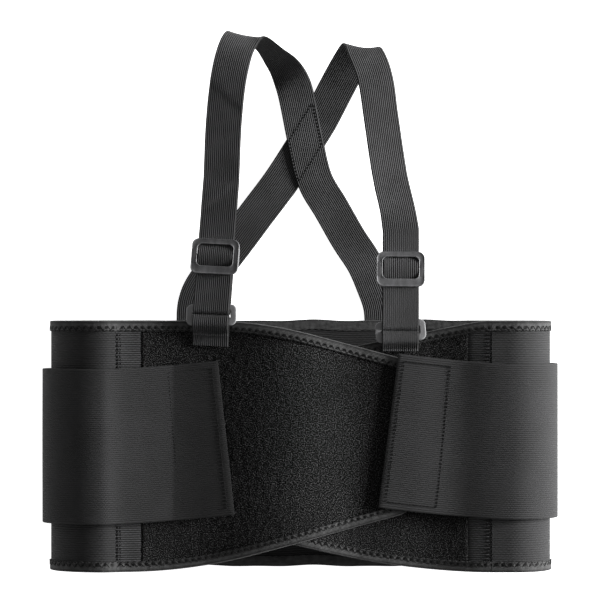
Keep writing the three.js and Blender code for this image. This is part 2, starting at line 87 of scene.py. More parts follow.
FLAT = STRAP_THICKNESS / 2 + 0.03  # a strap's middle where it lies on the resting plane
# A side's strap has rows of x, y and z, then its width's heading and lean in degrees.
LEFT = Group(
    name="left", sign=-1, bend=-170, reach=48, band_reach=56, seam=-161, pile=-138.5, tip=100,
    lift=5.7, lift_run=70, top_edge=(-79, 88, 0.265), bottom_edge=(-150, 106, 0.27), straight=121,
    slider_at=50.8, tab_end=-40, tab_fold=-31, folds=((118, 0.9, 0.3), (206, -0.7, 0.25)),
    band=Group(tip=-64.1, lift=10.6, lifts=(0, 90), middle=-127.6, rise=7.9, hook_from=-111,
               patch_shade=0.7, splits_at_seam=True, fold=((-161, 0, 85), (-146, 0, 85))),
    ring=Group(x=-77, y=-13, z=79.8, heading=-2.76, turn=3),
    strap=(
        (-66.6, 158.4, 56, 3, 8), (-61.8, 200.6, 51, -1, 7), (-55, 225.5, 43, -9, 3),
        (-49, 234, 34, -11.5, 1), (-44.5, 232.2, 25, -2, 40), (-34, 228.6, 19, 30, 64),
        (-23, 217, 14.6, 36, 53), (-13.2, 206, 9.8, 21, 30), (-5.5, 190, 5.4, 14, 6),
        (-1.8, 174.7, 4.4, 13, 0), (4, 145.6, 3.2, 14, 0), (13.6, 106, 2.4, 20, 0),
        (27.3, 82.7, 1.4, 29, 0), (43.6, 54.1, 0.7, 31, 0), (57.2, 33.4, FLAT, 32, 0),
        (66, 13.2, FLAT, 20, 0), (72.2, -4.4, FLAT, 10, 0), (73.5, -17.6, FLAT, 0, 0),
        (73.5, -43, FLAT, 0, 0),
    ),
)
RIGHT = Group(
    name="right", sign=1, bend=185, reach=34, band_reach=41, seam=167, pile=147, tip=-70,
    lift=0, lift_run=70, top_edge=(167, 18, 0.2), bottom_edge=(165, 140, 0.24), straight=89,
    slider_at=53.8, tab_end=-44.5, tab_fold=-44.5, folds=((150, 0.5, 0.25), (228, -0.6, 0.2)),
    band=Group(tip=76.8, lift=11.4, lifts=(38, 84), middle=-123, rise=9.5, hook_from=126,
               patch_shade=0.0, splits_at_seam=False, fold=((220, 0, 43.5), (220, 0, 63.5))),
    ring=Group(x=87.5, y=-27, z=75.9, heading=-0.4, turn=5),
    strap=(
        (85.6, 78, 60.2, 6, -12), (79.2, 106.5, 56, 9, -15), (71.3, 160, 51.5, 8, -15),
        (66, 196, 46, 6, -11), (59.5, 215, 39, -3, -4), (54.2, 223.7, 31, -9, 0), (51, 221, 22, -14, -4),
        (44, 210, 12.5, -22, -8), (33.3, 190.5, 5, -27, -2), (24.3, 173, 2.3, -28, 0),
        (16.7, 158.8, 1.1, -29, 0), (7, 143.4, 0.7, -31, 0), (-16.7, 106.3, FLAT, -34, 0),
        (-39.6, 75.7, FLAT, -36, 0), (-58, 51, FLAT, -35, 0), (-78.3, 24.6, FLAT, -34, 0),
        (-89.8, 7, FLAT, -26, 0), (-93.7, -6.2, FLAT, -8, 0), (-94.2, -17.6, FLAT, 0, 0),
        (-94, -43, FLAT, 0, 0),
    ),
)

# ---- sizes that only the looks have ----
STRAP_RIBS = 18
STRAP_EDGE = 0.4  # plain edge beside the webbing's ribs
RIB_PITCH = (STRAP_WIDTH - 2 * STRAP_EDGE) / STRAP_RIBS
ARCH_HEIGHT = 2.9  # a strap's rise over its slider's middle bar
RIB_DEPTH = 0.16
PILE_CELL = 1.15
STITCH = Group(length=2.1, pitch=3.1, radius=0.34)
STITCH_RISE = 0.32  # stitches on a pull band clear its uneven face
THREAD_SLOT = 1  # the thread is a sewn cloth's second material
ZIGZAG = Group(pitch=6.0, near=3.4, far=7.2, radius=0.2)
TAPE_ROW = 7.55  # the tape's plain row of stitches, from the edge it is folded over
# Pits that the zigzag stitch pulls into the tape; the last number sets how strongly painted shade darkens
# them.
PIT = Group(at=5.4, spread=1.2, depth=1.1, shade=1.15)
PAINTED_TURN_SHADE = 0.6  # painted shade: the tape's outer turn is made darker than its faces
SEAM_LAP = 0.5  # how far a front panel's backing runs into the back panel's edge
RETURN_FIXED = 14  # a length along a strap's under layer, from its ring
TO_SHOULDERS = np.array([0.0, 1.0, 0.0])
TO_FACE = np.array([0.0, 0.0, 1.0])


# ---- small helpers ----
def smooth(x, low, high):
    part = np.clip((x - low) / (high - low), 0, 1)
    return part * part * (3 - 2 * part)


def unit(vectors):
    return vectors / np.linalg.norm(vectors, axis=-1, keepdims=True)


def joined(*parts):
    """Points from their x, y and z, or from u and v: arrays that broadcast, or plain numbers."""
    return np.stack(np.broadcast_arrays(*parts), axis=-1)


def turn_about(axis, angle):
    """The rotation by an angle in radians about X, Y or Z, as axis 0, 1 or 2."""
    first, second = (axis + 1) % 3, (axis + 2) % 3
    made = np.eye(3)
    made[first, first] = made[second, second] = math.cos(angle)
    made[second, first] = math.sin(angle)
    made[first, second] = -made[second, first]
    return made


def lengths_along(points):
    steps = np.linalg.norm(np.diff(points, axis=0), axis=1)
    return np.concatenate([[0], np.cumsum(steps)])


def at_lengths(rows, lengths, wanted):
    return np.stack([np.interp(wanted, lengths, column) for column in rows.T], axis=1)


def resampled(points, step):
    """The same line with evenly spaced points, about step apart."""
    lengths = lengths_along(points)
    count = max(2, round(lengths[-1] / step) + 1)
    return at_lengths(points, lengths, np.linspace(0, lengths[-1], count))


def softened(points, reach, step=1.0):
    """A line with its corners rounded over about reach, both ends kept."""
    line = resampled(points, step)
    spread = int(3 * reach / step)
    before = 2 * line[0] - line[spread:0:-1]
    after = 2 * line[-1] - line[-2:-spread - 2:-1]
    padded = np.concatenate([before, line, after])
    kernel = np.exp(-0.5 * (np.arange(-spread, spread + 1) * step / reach) ** 2)
    kernel /= kernel.sum()
    return np.stack([np.convolve(column, kernel, "valid") for column in padded.T], axis=1)


def grain(shape, size, seed):
    """Smooth seeded noise with a spread of 1, its grain size in cells along each direction."""
    waves = np.fft.fft2(np.random.default_rng(seed).standard_normal(shape))
    along = np.fft.fftfreq(shape[0])[:, None] * size[0]
    across = np.fft.fftfreq(shape[1])[None, :] * size[1]
    field = np.fft.ifft2(waves * np.exp(-10 * (along**2 + across**2))).real
    return field / field.std()


# ---- the belt's shape in the XZ plane ----
def sag(x):
    x = np.asarray(x, float)
    settled = 1 - np.exp(-np.maximum(0, x - LEFT.bend) / LEFT_RUN)
    settled = settled * smooth(RIGHT.bend + RIDGE_FLAT - x, 0, RIGHT_RUN)
    away = x - BULGE.at
    part = np.clip(np.where(away < 0, -away / BULGE.left, away / BULGE.right), 0, 1)
    rest = np.where(away < 0, 0, BULGE.rest)
    bulge = rest + (BULGE.height - rest) * (1 + np.cos(math.pi * part)) / 2
    return RIDGE_HEIGHT - (FRONT_SAG - bulge) * settled


def front_height(side, x):
    return sag(x) + side.lift * smooth(from_seam(side, x), 0, side.lift_run)


def band_height(side, x):
    ramp = smooth(np.abs(x - side.bend), *side.band.lifts)
    return sag(x) + BAND_CLEARANCE + (side.band.lift - BAND_CLEARANCE) * ramp


def slope_at(height, side, x):
    return np.arctan2(height(side, x + 0.5) - height(side, x - 0.5), 1.0)


def face_normals(height, side, x):
    slope = slope_at(height, side, x)
    return joined(-np.sin(slope), 0, np.cos(slope))


def from_seam(side, x):
    return np.abs(x - side.seam)


def bend_points(side, reach, low, high, start, end):
    """A side's round bend: -90 degrees below, 0 outermost, 90 above."""
    angles = np.radians(np.linspace(start, end, 60))
    x = side.bend + side.sign * reach * np.cos(angles)
    z = (low + high) / 2 + (high - low) / 2 * np.sin(angles)
    return joined(x, z)


def body_line():
    """The back panel's [x, z] line from the left seam under the back to the right seam."""
    left = bend_points(LEFT, LEFT.reach, BACK_HEIGHT, RIDGE_HEIGHT, 90, -90)
    right = bend_points(RIGHT, RIGHT.reach, BACK_HEIGHT, RIDGE_HEIGHT, -90, 90)
    fronts = [[[side.seam, float(sag(side.seam))]] for side in (LEFT, RIGHT)]
    return softened(np.concatenate([fronts[0], left, right, fronts[1]]), 3)


def band_lines(side):
    """A pull band's [x, z] line from the spine round the side to its tip, cut in two."""
    low = BAND_THICKNESS / 2
    round_side = bend_points(side, side.band_reach, low, RIDGE_HEIGHT + BAND_CLEARANCE, -90, 90)
    x = np.linspace(side.bend, side.band.tip, 120)[1:]
    front = joined(x, band_height(side, x))
    start = [[side.sign * BAND_REAR_END, low]]
    line = softened(np.concatenate([start, round_side, front]), 3, 0.5)
    if side.band.splits_at_seam:
        cut = np.argmax((line[:, 0] > side.seam) & (line[:, 1] > RIDGE_HEIGHT / 2))
    else:
        cut = np.argmax(side.sign * line[:, 0])
    return line[: cut + 1], line[cut:]


# ---- meshes ----
def normals_of(grid):
    return unit(np.cross(np.gradient(grid, axis=0), np.gradient(grid, axis=1)))


def grid_quads(rows, columns, wrap=(0, 0)):
    """Quads on a grid of points; wrap is 1 where its rows or its columns close into a round."""
    index = np.arange(rows * columns).reshape(rows, columns)
    index = np.pad(index, [(0, extra) for extra in wrap], mode="wrap")
    near, far = index[:-1], index[1:]
    return joined(near[:, :-1], far[:, :-1], far[:, 1:], near[:, 1:]).reshape(-1, 4)


def tube_quads(rings, corners):
    return grid_quads(rings, corners, wrap=(0, 1))[:, [0, 3, 2, 1]]


class Cloth:
    """Quads gathered layer by layer in millimetres, then built as one object in metres."""

    def __init__(self):
        self.points, self.quads, self.uvs, self.slots, self.count = [], [], [], [], 0

    def add(self, points, quads, uv, slot=0):
        self.points.append(points.reshape(-1, 3))
        self.quads.append(quads + self.count)
        self.uvs.append(uv.reshape(-1, 2))
        self.slots.append(np.full(len(quads), slot))
        self.count += points.size // 3

    def slab(self, grid, front, back, uv=None):
        """A closed layer on a grid of points: front and back are its faces' distances from it."""
        rows, columns = grid.shape[:2]
        normals = normals_of(grid)
        along = lengths_along(grid[:, columns // 2])
        across = lengths_along(grid[rows // 2])
        if uv is None:
            uv = joined(along[:, None], across - across[-1] / 2)
        top, bottom = (
            grid + normals * np.broadcast_to(away, (rows, columns))[..., None] for away in (front, back))
        face = grid_quads(rows, columns)
        index = np.arange(rows * columns).reshape(rows, columns)
        rim = np.concatenate([index[:-1, 0], index[-1, :-1], index[:0:-1, -1], index[0, :0:-1]])
        turned = np.roll(rim, -1)
        below = rows * columns
        walls = np.stack([turned, rim, rim + below, turned + below], axis=1)
        quads = np.concatenate([face, face[:, ::-1] + below, walls])
        self.add(np.concatenate([top, bottom]), quads, np.concatenate([uv, uv]))

    def skin(self, grid, uv):
        """One open layer of points."""
        self.add(grid, grid_quads(*grid.shape[:2]), uv)

    def threads(self, starts, ends, out, radius=STITCH.radius):
        """Stitches as short four-sided threads that dip into the cloth at both ends."""
        starts, ends, out = (np.asarray(a, float).reshape(-1, 3) for a in (starts, ends, out))
        along = unit(ends - starts)
        out = unit(out - along * np.sum(out * along, axis=1, keepdims=True))
        side = np.cross(along, out)
        rings = []
        for part, lift, size in ((0, -0.9, 0.55), (0.18, 0.35, 1), (0.82, 0.35, 1), (1, -0.9, 0.55)):
            centre = starts + (ends - starts) * part + out * radius * lift
            corners = [centre + (side * a + out * b) * radius * size
                       for a, b in ((-1, -0.6), (1, -0.6), (0.7, 0.8), (-0.7, 0.8))]
            rings.append(np.stack(corners, axis=1))
        points = np.concatenate(rings, axis=1)
        faces = np.concatenate([[[3, 2, 1, 0], [12, 13, 14, 15]], tube_quads(4, 4)])
        quads = faces[:, None] + np.arange(len(points))[:, None] * 16
        along_thread = np.tile(np.repeat([0, 0.4, 1.9, 2.3], 4), len(points))
        self.add(points, quads.reshape(-1, 4), joined(along_thread, 0), THREAD_SLOT)

    def build(self, name, *materials, crease=50):
        points = np.concatenate(self.points) / 1000
        quads = np.concatenate(self.quads)
        uvs = np.concatenate(self.uvs) / 1000
        mesh = bpy.data.meshes.new(name)
        mesh.vertices.add(len(points))
        mesh.vertices.foreach_set("co", points.astype(np.float32).ravel())
        mesh.loops.add(quads.size)
        mesh.loops.foreach_set("vertex_index", quads.astype(np.int32).ravel())
        mesh.polygons.add(len(quads))
        mesh.polygons.foreach_set("loop_start", np.arange(0, quads.size, 4, dtype=np.int32))
        mesh.polygons.foreach_set("material_index", np.concatenate(self.slots).astype(np.int32))
        mesh.polygons.foreach_set("use_smooth", np.ones(len(quads), bool))
        layer = mesh.uv_layers.new(name="weave")
        layer.data.foreach_set("uv", uvs[quads.ravel()].astype(np.float32).ravel())
        mesh.update()
        mesh.validate()
        mesh.set_sharp_from_angle(angle=math.radians(crease))
        for material in materials:
            mesh.materials.append(material)
        piece = bpy.data.objects.new(name, mesh)
        bpy.context.scene.collection.objects.link(piece)
        return piece


def stitch_line(cloth, points, out=TO_FACE, inset=0.0):
    """A row of stitches along a line that lies on the cloth, out being its normals."""
    lengths = lengths_along(points)
    starts = np.arange(inset, lengths[-1] - inset - STITCH.length, STITCH.pitch)
    outs = at_lengths(np.broadcast_to(out, points.shape), lengths, starts + STITCH.length / 2)
    ends = at_lengths(points, lengths, starts + STITCH.length)
    cloth.threads(at_lengths(points, lengths, starts), ends, outs)


# ---- materials ----
class Nodes:
    """One material's node tree, with short calls for the nodes used here."""

    def __init__(self, name, colour, roughness, sheen=0.0, specular=0.2):
        self.material = bpy.data.materials.new(name)
        self.material.use_nodes = True
        self.tree = self.material.node_tree
        self.shader = self.tree.nodes["Principled BSDF"]
        for socket, value in {
            "Base Color": colour, "Roughness": roughness, "Sheen Weight": sheen,
            "Sheen Roughness": 0.4, "Specular IOR Level": specular,
        }.items():
            self.shader.inputs[socket].default_value = value

    def put(self, socket, value):
        if isinstance(value, bpy.types.NodeSocket):
            self.tree.links.new(value, socket)
        elif value is not None:
            socket.default_value = value

    def node(self, kind, inputs=(), **settings):
        made = self.tree.nodes.new(kind)
        for key, value in settings.items():
            setattr(made, key, value)
        for key, value in dict(inputs).items():
            self.put(made.inputs[key], value)
        return made

    def math(self, operation, first, second=None):
        return self.node("ShaderNodeMath", {0: first, 1: second}, operation=operation).outputs[0]

    def sum_of(self, *terms):
        """Terms are pairs of a value and its weight."""
        total, *rest = (self.math("MULTIPLY", value, weight) for value, weight in terms)
        for term in rest:
            total = self.math("ADD", total, term)
        return total

    def mark(self, name):
        return self.node("ShaderNodeAttribute", attribute_name=name).outputs["Fac"]

    def weave(self):
        """The cloth's own u, along, and v, across, in metres."""
        uv = self.node("ShaderNodeUVMap", uv_map="weave").outputs[0]
        apart = self.node("ShaderNodeSeparateXYZ", {0: uv})
        return uv, apart.outputs[0], apart.outputs[1]

    def wave(self, value, pitch, shift=None):
        """From -1 to 1, one wave for each pitch of value."""
        turned = self.math("MULTIPLY", value, 2 * math.pi / pitch)
        if shift is not None:
            turned = self.math("ADD", turned, shift)
        return self.math("SINE", turned)

    def noise(self, vector, scale, detail, roughness, stretch=None):
        if stretch:
            vector = self.node("ShaderNodeMapping", {"Vector": vector, "Scale": stretch}).outputs[0]
        made = self.node("ShaderNodeTexNoise", {
            "Vector": vector, "Scale": scale, "Detail": detail, "Roughness": roughness})
        return made.outputs[0]

    def between(self, value, low, high, out_low, out_high):
        made = self.node("ShaderNodeMapRange", {
            "Value": value, 1: low, 2: high, 3: out_low, 4: out_high})
        return made.outputs[0]

    def mix(self, part, first, second):
        return self.node("ShaderNodeMix", {0: part, 6: first, 7: second}, data_type="RGBA").outputs[2]

    def bump(self, height, depth, under=None):
        made = self.node("ShaderNodeBump", {
            "Height": height, "Distance": depth, "Strength": 1, "Normal": under})
        return made.outputs[0]

    def finish(self, **sockets):
        for name, value in sockets.items():
            self.put(self.shader.inputs[name.replace("_", " ")], value)
        return self.material


def grey(value, tint=0.0):
    return (value, value, value * (1 + tint), 1)


PAINTED_SHADE = grey(0.002)  # painted shade: the colour cloth takes where its shade attribute is 1
PATCHY = 0.35  # how far woven elastic's tone wanders


def woven(name, dark, light, rib, pick, depth, rib_share=1.0, picks_share=0.28, fuzz=0.5):
    """Woven elastic: ribs a rib's pitch apart run along u, and each is crossed by fine picks."""
    n = Nodes(name, grey(light), 0.85, 0.05)
    uv, along, across = n.weave()
    ribs = n.wave(across, rib, -math.pi / 2)
    step = n.math("MULTIPLY", n.math("FLOOR", n.math("DIVIDE", across, rib)), math.pi)
    picks = n.wave(along, pick, step)
    fibre = n.noise(uv, 1500, 3, 0.6, stretch=(0.35, 1, 1))
    patches = n.noise(uv, 22, 3, 0.55)
    # The tone follows the weave's height, so the grooves between ribs and picks get painted shade; its
    # patches wander at random.
    height = n.sum_of((ribs, 0.5 * rib_share), (picks, picks_share), (fibre, fuzz))
    tone = n.between(height, -0.55, 0.95, 0, 1)
    tone = n.math("ADD", tone, n.between(patches, 0.3, 0.7, -PATCHY, PATCHY))
    # Painted shade where the cloth's shade attribute is set.
    colour = n.mix(n.mark("shade"), n.mix(tone, grey(dark), grey(light, 0.03)), PAINTED_SHADE)
    return n.finish(
        Base_Color=colour, Roughness=n.between(patches, 0.3, 0.7, 0.78, 0.92),
        Normal=n.bump(height, depth))


def brushed_pile(name):
    n = Nodes(name, grey(0.006), 0.95, 0.03, 0.05)
    uv, _, _ = n.weave()
    loops = n.noise(uv, 1000, 2, 0.6)
    patches = n.noise(uv, 16, 2, 0.5)
    # The colour follows the loops' height: painted shade in the hollows between loops, and patches that
    # wander at random.
    tone = n.between(loops, 0.5, 0.7, 0, 1)
    lit = n.math("MULTIPLY", tone, n.between(patches, 0.3, 0.7, 0.75, 1.2))
    colour = n.mix(lit, grey(0.0012), grey(0.06))
    return n.finish(Base_Color=colour, Normal=n.bump(loops, 0.0014))


def tape(name, dark, light):
    """Woven binding tape: fine lengthwise lines and a slight pucker."""
    n = Nodes(name, grey(light), 0.85, 0.06)
    uv, along, across = n.weave()
    lines = n.wave(across, 0.00115)
    picks = n.wave(along, 0.0011)
    fibre = n.noise(uv, 1400, 3, 0.6)
    pucker = n.noise(uv, 190, 2, 0.5)
    height = n.sum_of((lines, 0.4), (picks, 0.22), (fibre, 0.7))
    tone = n.math("ADD", n.between(height, -0.3, 1.1, 0, 1), n.between(pucker, 0.3, 0.7, -0.3, 0.3))
    bump = n.bump(pucker, 0.0006, under=n.bump(height, 0.00028))
    # Painted shade where the tape's shade attribute is set.
    colour = n.mix(n.mark("shade"), n.mix(tone, grey(dark), grey(light)), PAINTED_SHADE)
    return n.finish(Base_Color=colour, Normal=bump)


def hook_tape(name):
    n = Nodes(name, grey(0.008), 0.6, 0.05, 0.35)
    uv, along, across = n.weave()
    rows = n.math("MULTIPLY", n.wave(along, 0.0016), n.wave(across, 0.0016))
    height = n.math("ADD", rows, n.noise(uv, 1300, 2, 0.5))
    tone = n.between(height, -0.4, 1.4, 0, 1)
    return n.finish(Base_Color=n.mix(tone, grey(0.003), grey(0.02)), Normal=n.bump(height, 0.0004))


def sewing_thread(name):
    # The thread is darker than the cloth: partly its own colour, partly painted shade for the needle
    # holes.
    n = Nodes(name, grey(0.004), 0.8, 0, 0.1)
    _, along, _ = n.weave()
    twist = n.wave(along, 0.0006)
    colour = n.mix(n.between(twist, -1, 1, 0, 1), grey(0.001), grey(0.006))
    return n.finish(Base_Color=colour, Normal=n.bump(twist, 0.0001))


def moulded(name, colour, worn_and_highlight):
    """Satin moulded plastic: fine spark texture, faint scuffs, and lighter edges that are partly wear and
    partly a painted highlight.
    """
    n = Nodes(name, colour, 0.42, 0, 0.5)
    place = n.node("ShaderNodeTexCoord").outputs["Object"]
    spark = n.noise(place, 2600, 2, 0.6)
    scuff = n.noise(place, 210, 4, 0.6, stretch=(1, 0.25, 1))
    # Painted highlight: the lighter edges stand partly for wear and partly for light caught by the raised
    # rims.
    wear_and_highlight = n.math("MULTIPLY", n.mark("edge"), n.between(scuff, 0.35, 0.65, 0.35, 1))
    mottled = n.mix(n.between(scuff, 0.4, 0.7, 0, 0.35), colour, worn_and_highlight)
    return n.finish(
        Base_Color=n.mix(wear_and_highlight, mottled, worn_and_highlight), Roughness=n.between(scuff, 0.3, 0.7, 0.46, 0.6),
        Normal=n.bump(spark, 0.00012))


BODY = woven("body_elastic", 0.007, 0.019, 0.0020, 0.0011, 0.00030)
STRIP = woven("ribbed_strip", 0.005, 0.036, 0.00195, 0.0011, 0.0005, rib_share=1.6)
BAND = woven("pull_elastic", 0.008, 0.021, 0.00176, 0.0010, 0.00028)
WEBBING = woven("webbing", 0.006, 0.04, RIB_PITCH / 1000, 0.0011, 0.0002,
                rib_share=1.3, picks_share=0.04, fuzz=0.15)
PILE = brushed_pile("pile")
TAPE = tape("binding", 0.017, 0.052)
HOOK = hook_tape("hook")
THREAD = sewing_thread("thread")
PLASTIC = moulded("plastic", (0.027, 0.027, 0.0285, 1), (0.12, 0.12, 0.124, 1))
RING_PLASTIC = moulded("ring_plastic", (0.085, 0.085, 0.087, 1), (0.17, 0.17, 0.174, 1))
STAY = moulded("stay", (0.07, 0.072, 0.08, 1), (0.14, 0.145, 0.155, 1))


# ---- the back of the belt ----
def across_places(low, high, step, edge=0.5):
    """Places across a strip, with extra ones near both edges to round them."""
    inner = np.linspace(low + 2 * edge, high - 2 * edge, max(2, round((high - low) / step)))
    return np.concatenate([[low, low + 0.3 * edge, low + edge], inner,
                           [high - edge, high - 0.3 * edge, high]])


def rounded(places, half):
    """Half thickness across a strip, full inside and rounded off at both edges."""
    inside = np.minimum(places - places[0], places[-1] - places) / half
    return half * np.sqrt(1 - (1 - np.clip(inside, 0.06, 1)) ** 2)


def edge_wave(line):
    """How far the back's cut edges wander where the back lies flat, a little under 1 mm."""
    x, z = line[:, 0], line[:, 1]
    flat = (1 - smooth(np.abs(x - 10), 100, 150)) * (z < 20)
    return flat * (0.55 * np.sin(x / 15.5 + 0.8) + 0.35 * np.sin(x / 7.9))


def sheet_grid(line, lows, highs, places):
    """Points of a sheet that stands on an [x, z] line; places run from 0 low to 1 high."""
    return joined(line[:, :1], lows[:, None] + (highs - lows)[:, None] * places, line[:, 1:])


def back_panel():
    line = resampled(body_line(), 3)
    wave = edge_wave(line)
    places = across_places(BELT_BOTTOM, BELT_TOP, 4)
    share = (places - places[0]) / (places[-1] - places[0])
    grid = sheet_grid(line, BELT_BOTTOM + wave, BELT_TOP + wave, share)
    half = rounded(places, BODY_HALF)
    cloth = Cloth()
    cloth.slab(grid, half, -half)
    piece = cloth.build("back_panel_cloth", BODY)
    return piece


BINDING_LEG = np.array([8, 7.6, 7, 6.4, 5.8, 5.2, 4.6, 4, 3.2, 2.4, 1.6, 0.8, 0.1])
BINDING_ARC = np.radians(np.linspace(-80, 80, 7))


def binding(cloth, edge, inwards, out, lower, upper, seed):
    """Tape folded over an edge: a U round the panel's two faces, dimpled by a zigzag stitch."""
    along = np.gradient(edge, axis=0)
    if np.sum(np.cross(along[0], inwards[0]) * out[0]) < 0:
        edge, inwards, out, lower, upper = (a[::-1] for a in (edge, inwards, out, lower, upper))
    lengths = lengths_along(edge)
    half = BINDING_SKIN / 2
    low = (lower - GAP - half)[:, None]
    high = (upper + GAP + half)[:, None]
    arc_in = -(GAP + half) * np.cos(BINDING_ARC)
    arc_up = (1 + np.sin(BINDING_ARC)) / 2
    across = np.concatenate([BINDING_LEG, arc_in, BINDING_LEG[::-1]])
    leg = len(BINDING_LEG)
    heights = np.concatenate([
        np.repeat(low, leg, 1), low + (high - low) * arc_up, np.repeat(high, leg, 1)], axis=1)
    place = np.arange(len(across))
    on_top = place >= len(across) - leg
    phase = (lengths / ZIGZAG.pitch) % 1 - 0.5
    pits = np.zeros(heights.shape)
    for shift in (-1, 0, 1):
        far = ((phase + shift) * ZIGZAG.pitch)[:, None]
        pits += on_top * np.exp(-((across - PIT.at)[None, :] ** 2 + far**2) / PIT.spread)
    heights -= pits * PIT.depth
    # Painted shade: the colour darkens in the stitch pits and on the tape's outer turn.
    turned = (place >= leg - 1) & (place <= len(across) - leg + 1)
    shade = np.maximum(np.clip(pits * PIT.shade, 0, 1), PAINTED_TURN_SHADE * turned)
    scallop = 0.25 * np.sin(lengths * 2 * math.pi / ZIGZAG.pitch)[:, None]
    reach = across[None, :] + scallop * smooth(across, 6, 8)[None, :]
    wobble = grain((len(edge), len(across)), (9, 5), seed) * 0.09
    heights = heights + wobble * on_top
    grid = (edge[:, None, :] + inwards[:, None, :] * reach[..., None]
            + out[:, None, :] * heights[..., None])
    round_out = np.where(across > 7.7, 0.4, 1) * half
    cloth.slab(grid, round_out, -half, uv=joined(lengths[:, None], lengths_along(grid[len(grid) // 2])))
    surface = edge + out * (high + half + 0.12)
    starts = np.arange(0.25, lengths[-1] / ZIGZAG.pitch - 1, 0.5) * ZIGZAG.pitch
    ends = starts + ZIGZAG.pitch / 2
    even = np.arange(len(starts)) % 2 == 0
    near = np.where(even, ZIGZAG.near, ZIGZAG.far)
    far = np.where(even, ZIGZAG.far, ZIGZAG.near)
    spots = [
        at_lengths(surface, lengths, where) + at_lengths(inwards, lengths, where) * reach_in[:, None]
        for where, reach_in in ((starts, near), (ends, far))
    ]
    cloth.threads(*spots, at_lengths(out, lengths, starts), radius=ZIGZAG.radius)
    stitch_line(cloth, surface + inwards * TAPE_ROW, out, 1)
    return lengths[-1], np.tile(shade.ravel(), 2)


def marked(piece, name, values):
    """Gives a piece's vertices a value each, and 0 to those past the end of the values."""
    full = np.zeros(len(piece.data.vertices), np.float32)
    full[:len(values)] = values
    piece.data.attributes.new(name, "FLOAT", "POINT").data.foreach_set("value", full)


def tape_sheet(cloth, name, painted_shades):
    """The finished tape, with painted shade where it is pulled into the seam and turns over the edge."""
    piece = cloth.build(name, TAPE, THREAD)
    marked(piece, "shade", painted_shades)
    return piece


def back_binding(name, edge_y, inwards_y, seed):
    line = resampled(body_line(), 0.8)
    heading = unit(np.gradient(line, axis=0))
    out = joined(heading[:, 1], 0, -heading[:, 0])
    edge = joined(line[:, 0], edge_y + edge_wave(line), line[:, 1])
    inwards = np.broadcast_to(TO_SHOULDERS * inwards_y, edge.shape)
    flat = np.full(len(line), BODY_HALF)
    cloth = Cloth()
    length, painted_shades = binding(cloth, edge, inwards, out, -flat, flat, seed)
    return tape_sheet(cloth, f"{name}_tape", painted_shades)


def stay_channel(number, x):
    """A fabric tunnel sewn over a stay with two rows of stitches on each flange."""
    across = np.concatenate([
        np.linspace(-CHANNEL.flange, -CHANNEL.roof - 1.4, 5),
        np.linspace(-CHANNEL.roof - 0.7, CHANNEL.roof + 0.7, 20),
        np.linspace(CHANNEL.roof + 1.4, CHANNEL.flange, 5)])
    base = BACK_HEIGHT + BODY_HALF + GAP
    middle = (BELT_TOP + BELT_BOTTOM) / 2
    along = np.linspace(middle + CHANNEL.length / 2, middle - CHANNEL.length / 2, 80)
    lifted = CHANNEL.rise * (1 - smooth(np.abs(across), CHANNEL.roof - 0.4, CHANNEL.roof + 1.2))
    pucker = grain((len(along), len(across)), (14, 6), number) * 0.05
    grid = joined(x + across, along[:, None], base + lifted + CHANNEL.wall / 2 + pucker)
    cloth = Cloth()
    cloth.slab(grid, CHANNEL.wall / 2, -CHANNEL.wall / 2)
    for place in (-9.8, -8.6, 8.6, 9.8):
        stitch_line(cloth, joined(x + place, along, base + CHANNEL.wall + 0.1), inset=2)
    piece = cloth.build(f"stay_channel_{number}_cloth", TAPE, THREAD)
    return piece


# ---- front panels ----
def edge_drop(rule, side, x):
    start, ease, slope = rule
    past = np.maximum(0, -side.sign * (x - start))
    return np.where(past < ease, slope * past * past / (2 * ease), slope * (past - ease / 2))


def corner_drop(side, x):
    into = np.clip(CORNER - side.sign * (x - side.tip), 0, CORNER)
    return CORNER - np.sqrt(CORNER**2 - into**2)


def top_edge(side, x):
    return BELT_TOP - edge_drop(side.top_edge, side, x) - corner_drop(side, x)


def bottom_edge(side, x):
    return BELT_BOTTOM + edge_drop(side.bottom_edge, side, x) + corner_drop(side, x)


def panel_places(side, start, end, step):
    """x from start to end, closer together round the tip's corners."""
    straight = np.linspace(start, side.tip + side.sign * CORNER, round(abs(side.tip - start) / step))
    angles = np.radians(np.linspace(0, 90, 12))[1:]
    corner = side.tip + side.sign * CORNER * (1 - np.sin(angles))
    x = np.concatenate([straight, corner])
    return x[side.sign * (x - end) >= -1e-6]


def panel_grid(side, x, places, inset=0.0):
    """Points of the front panel's own surface, rows from left to right."""
    x = np.sort(x)
    line = joined(x, front_height(side, x))
    return x, sheet_grid(line, bottom_edge(side, x) + inset, top_edge(side, x) - inset, places)


def panel_uv(side, x, grid):
    """u along the panel from its seam and v up from the belt's middle line."""
    return joined(x[:, None] - side.seam, grid[..., 1])


def front_base(side):
    x = panel_places(side, side.seam + side.sign * SEAM_LAP, side.tip, 3.5)
    places = across_places(0, 1, 0.02, 0.003)
    x, grid = panel_grid(side, x, places)
    pile_starts = from_seam(side, side.pile)
    under_pile = smooth(from_seam(side, x), pile_starts - 1.5, pile_starts + 3)
    top = STRIP_TOP + (PANEL_BACKING[1] - STRIP_TOP) * under_pile
    edge = np.minimum(1, from_seam(side, x) / 1.6)
    top = PANEL_BACKING[0] + (top - PANEL_BACKING[0]) * (0.35 + 0.65 * np.sqrt(edge))
    cloth = Cloth()
    cloth.slab(grid, top[:, None], PANEL_BACKING[0], uv=panel_uv(side, x, grid))
    for distance in (2.3, 4.6):
        at = side.seam - side.sign * distance
        y = np.linspace(BELT_BOTTOM + 8, BELT_TOP - 8, 120)
        height = float(front_height(side, at)) + STRIP_TOP + 0.05
        stitch_line(cloth, joined(at, y, height), inset=1)
    return cloth.build(f"{side.name}_front_cloth", STRIP, THREAD)


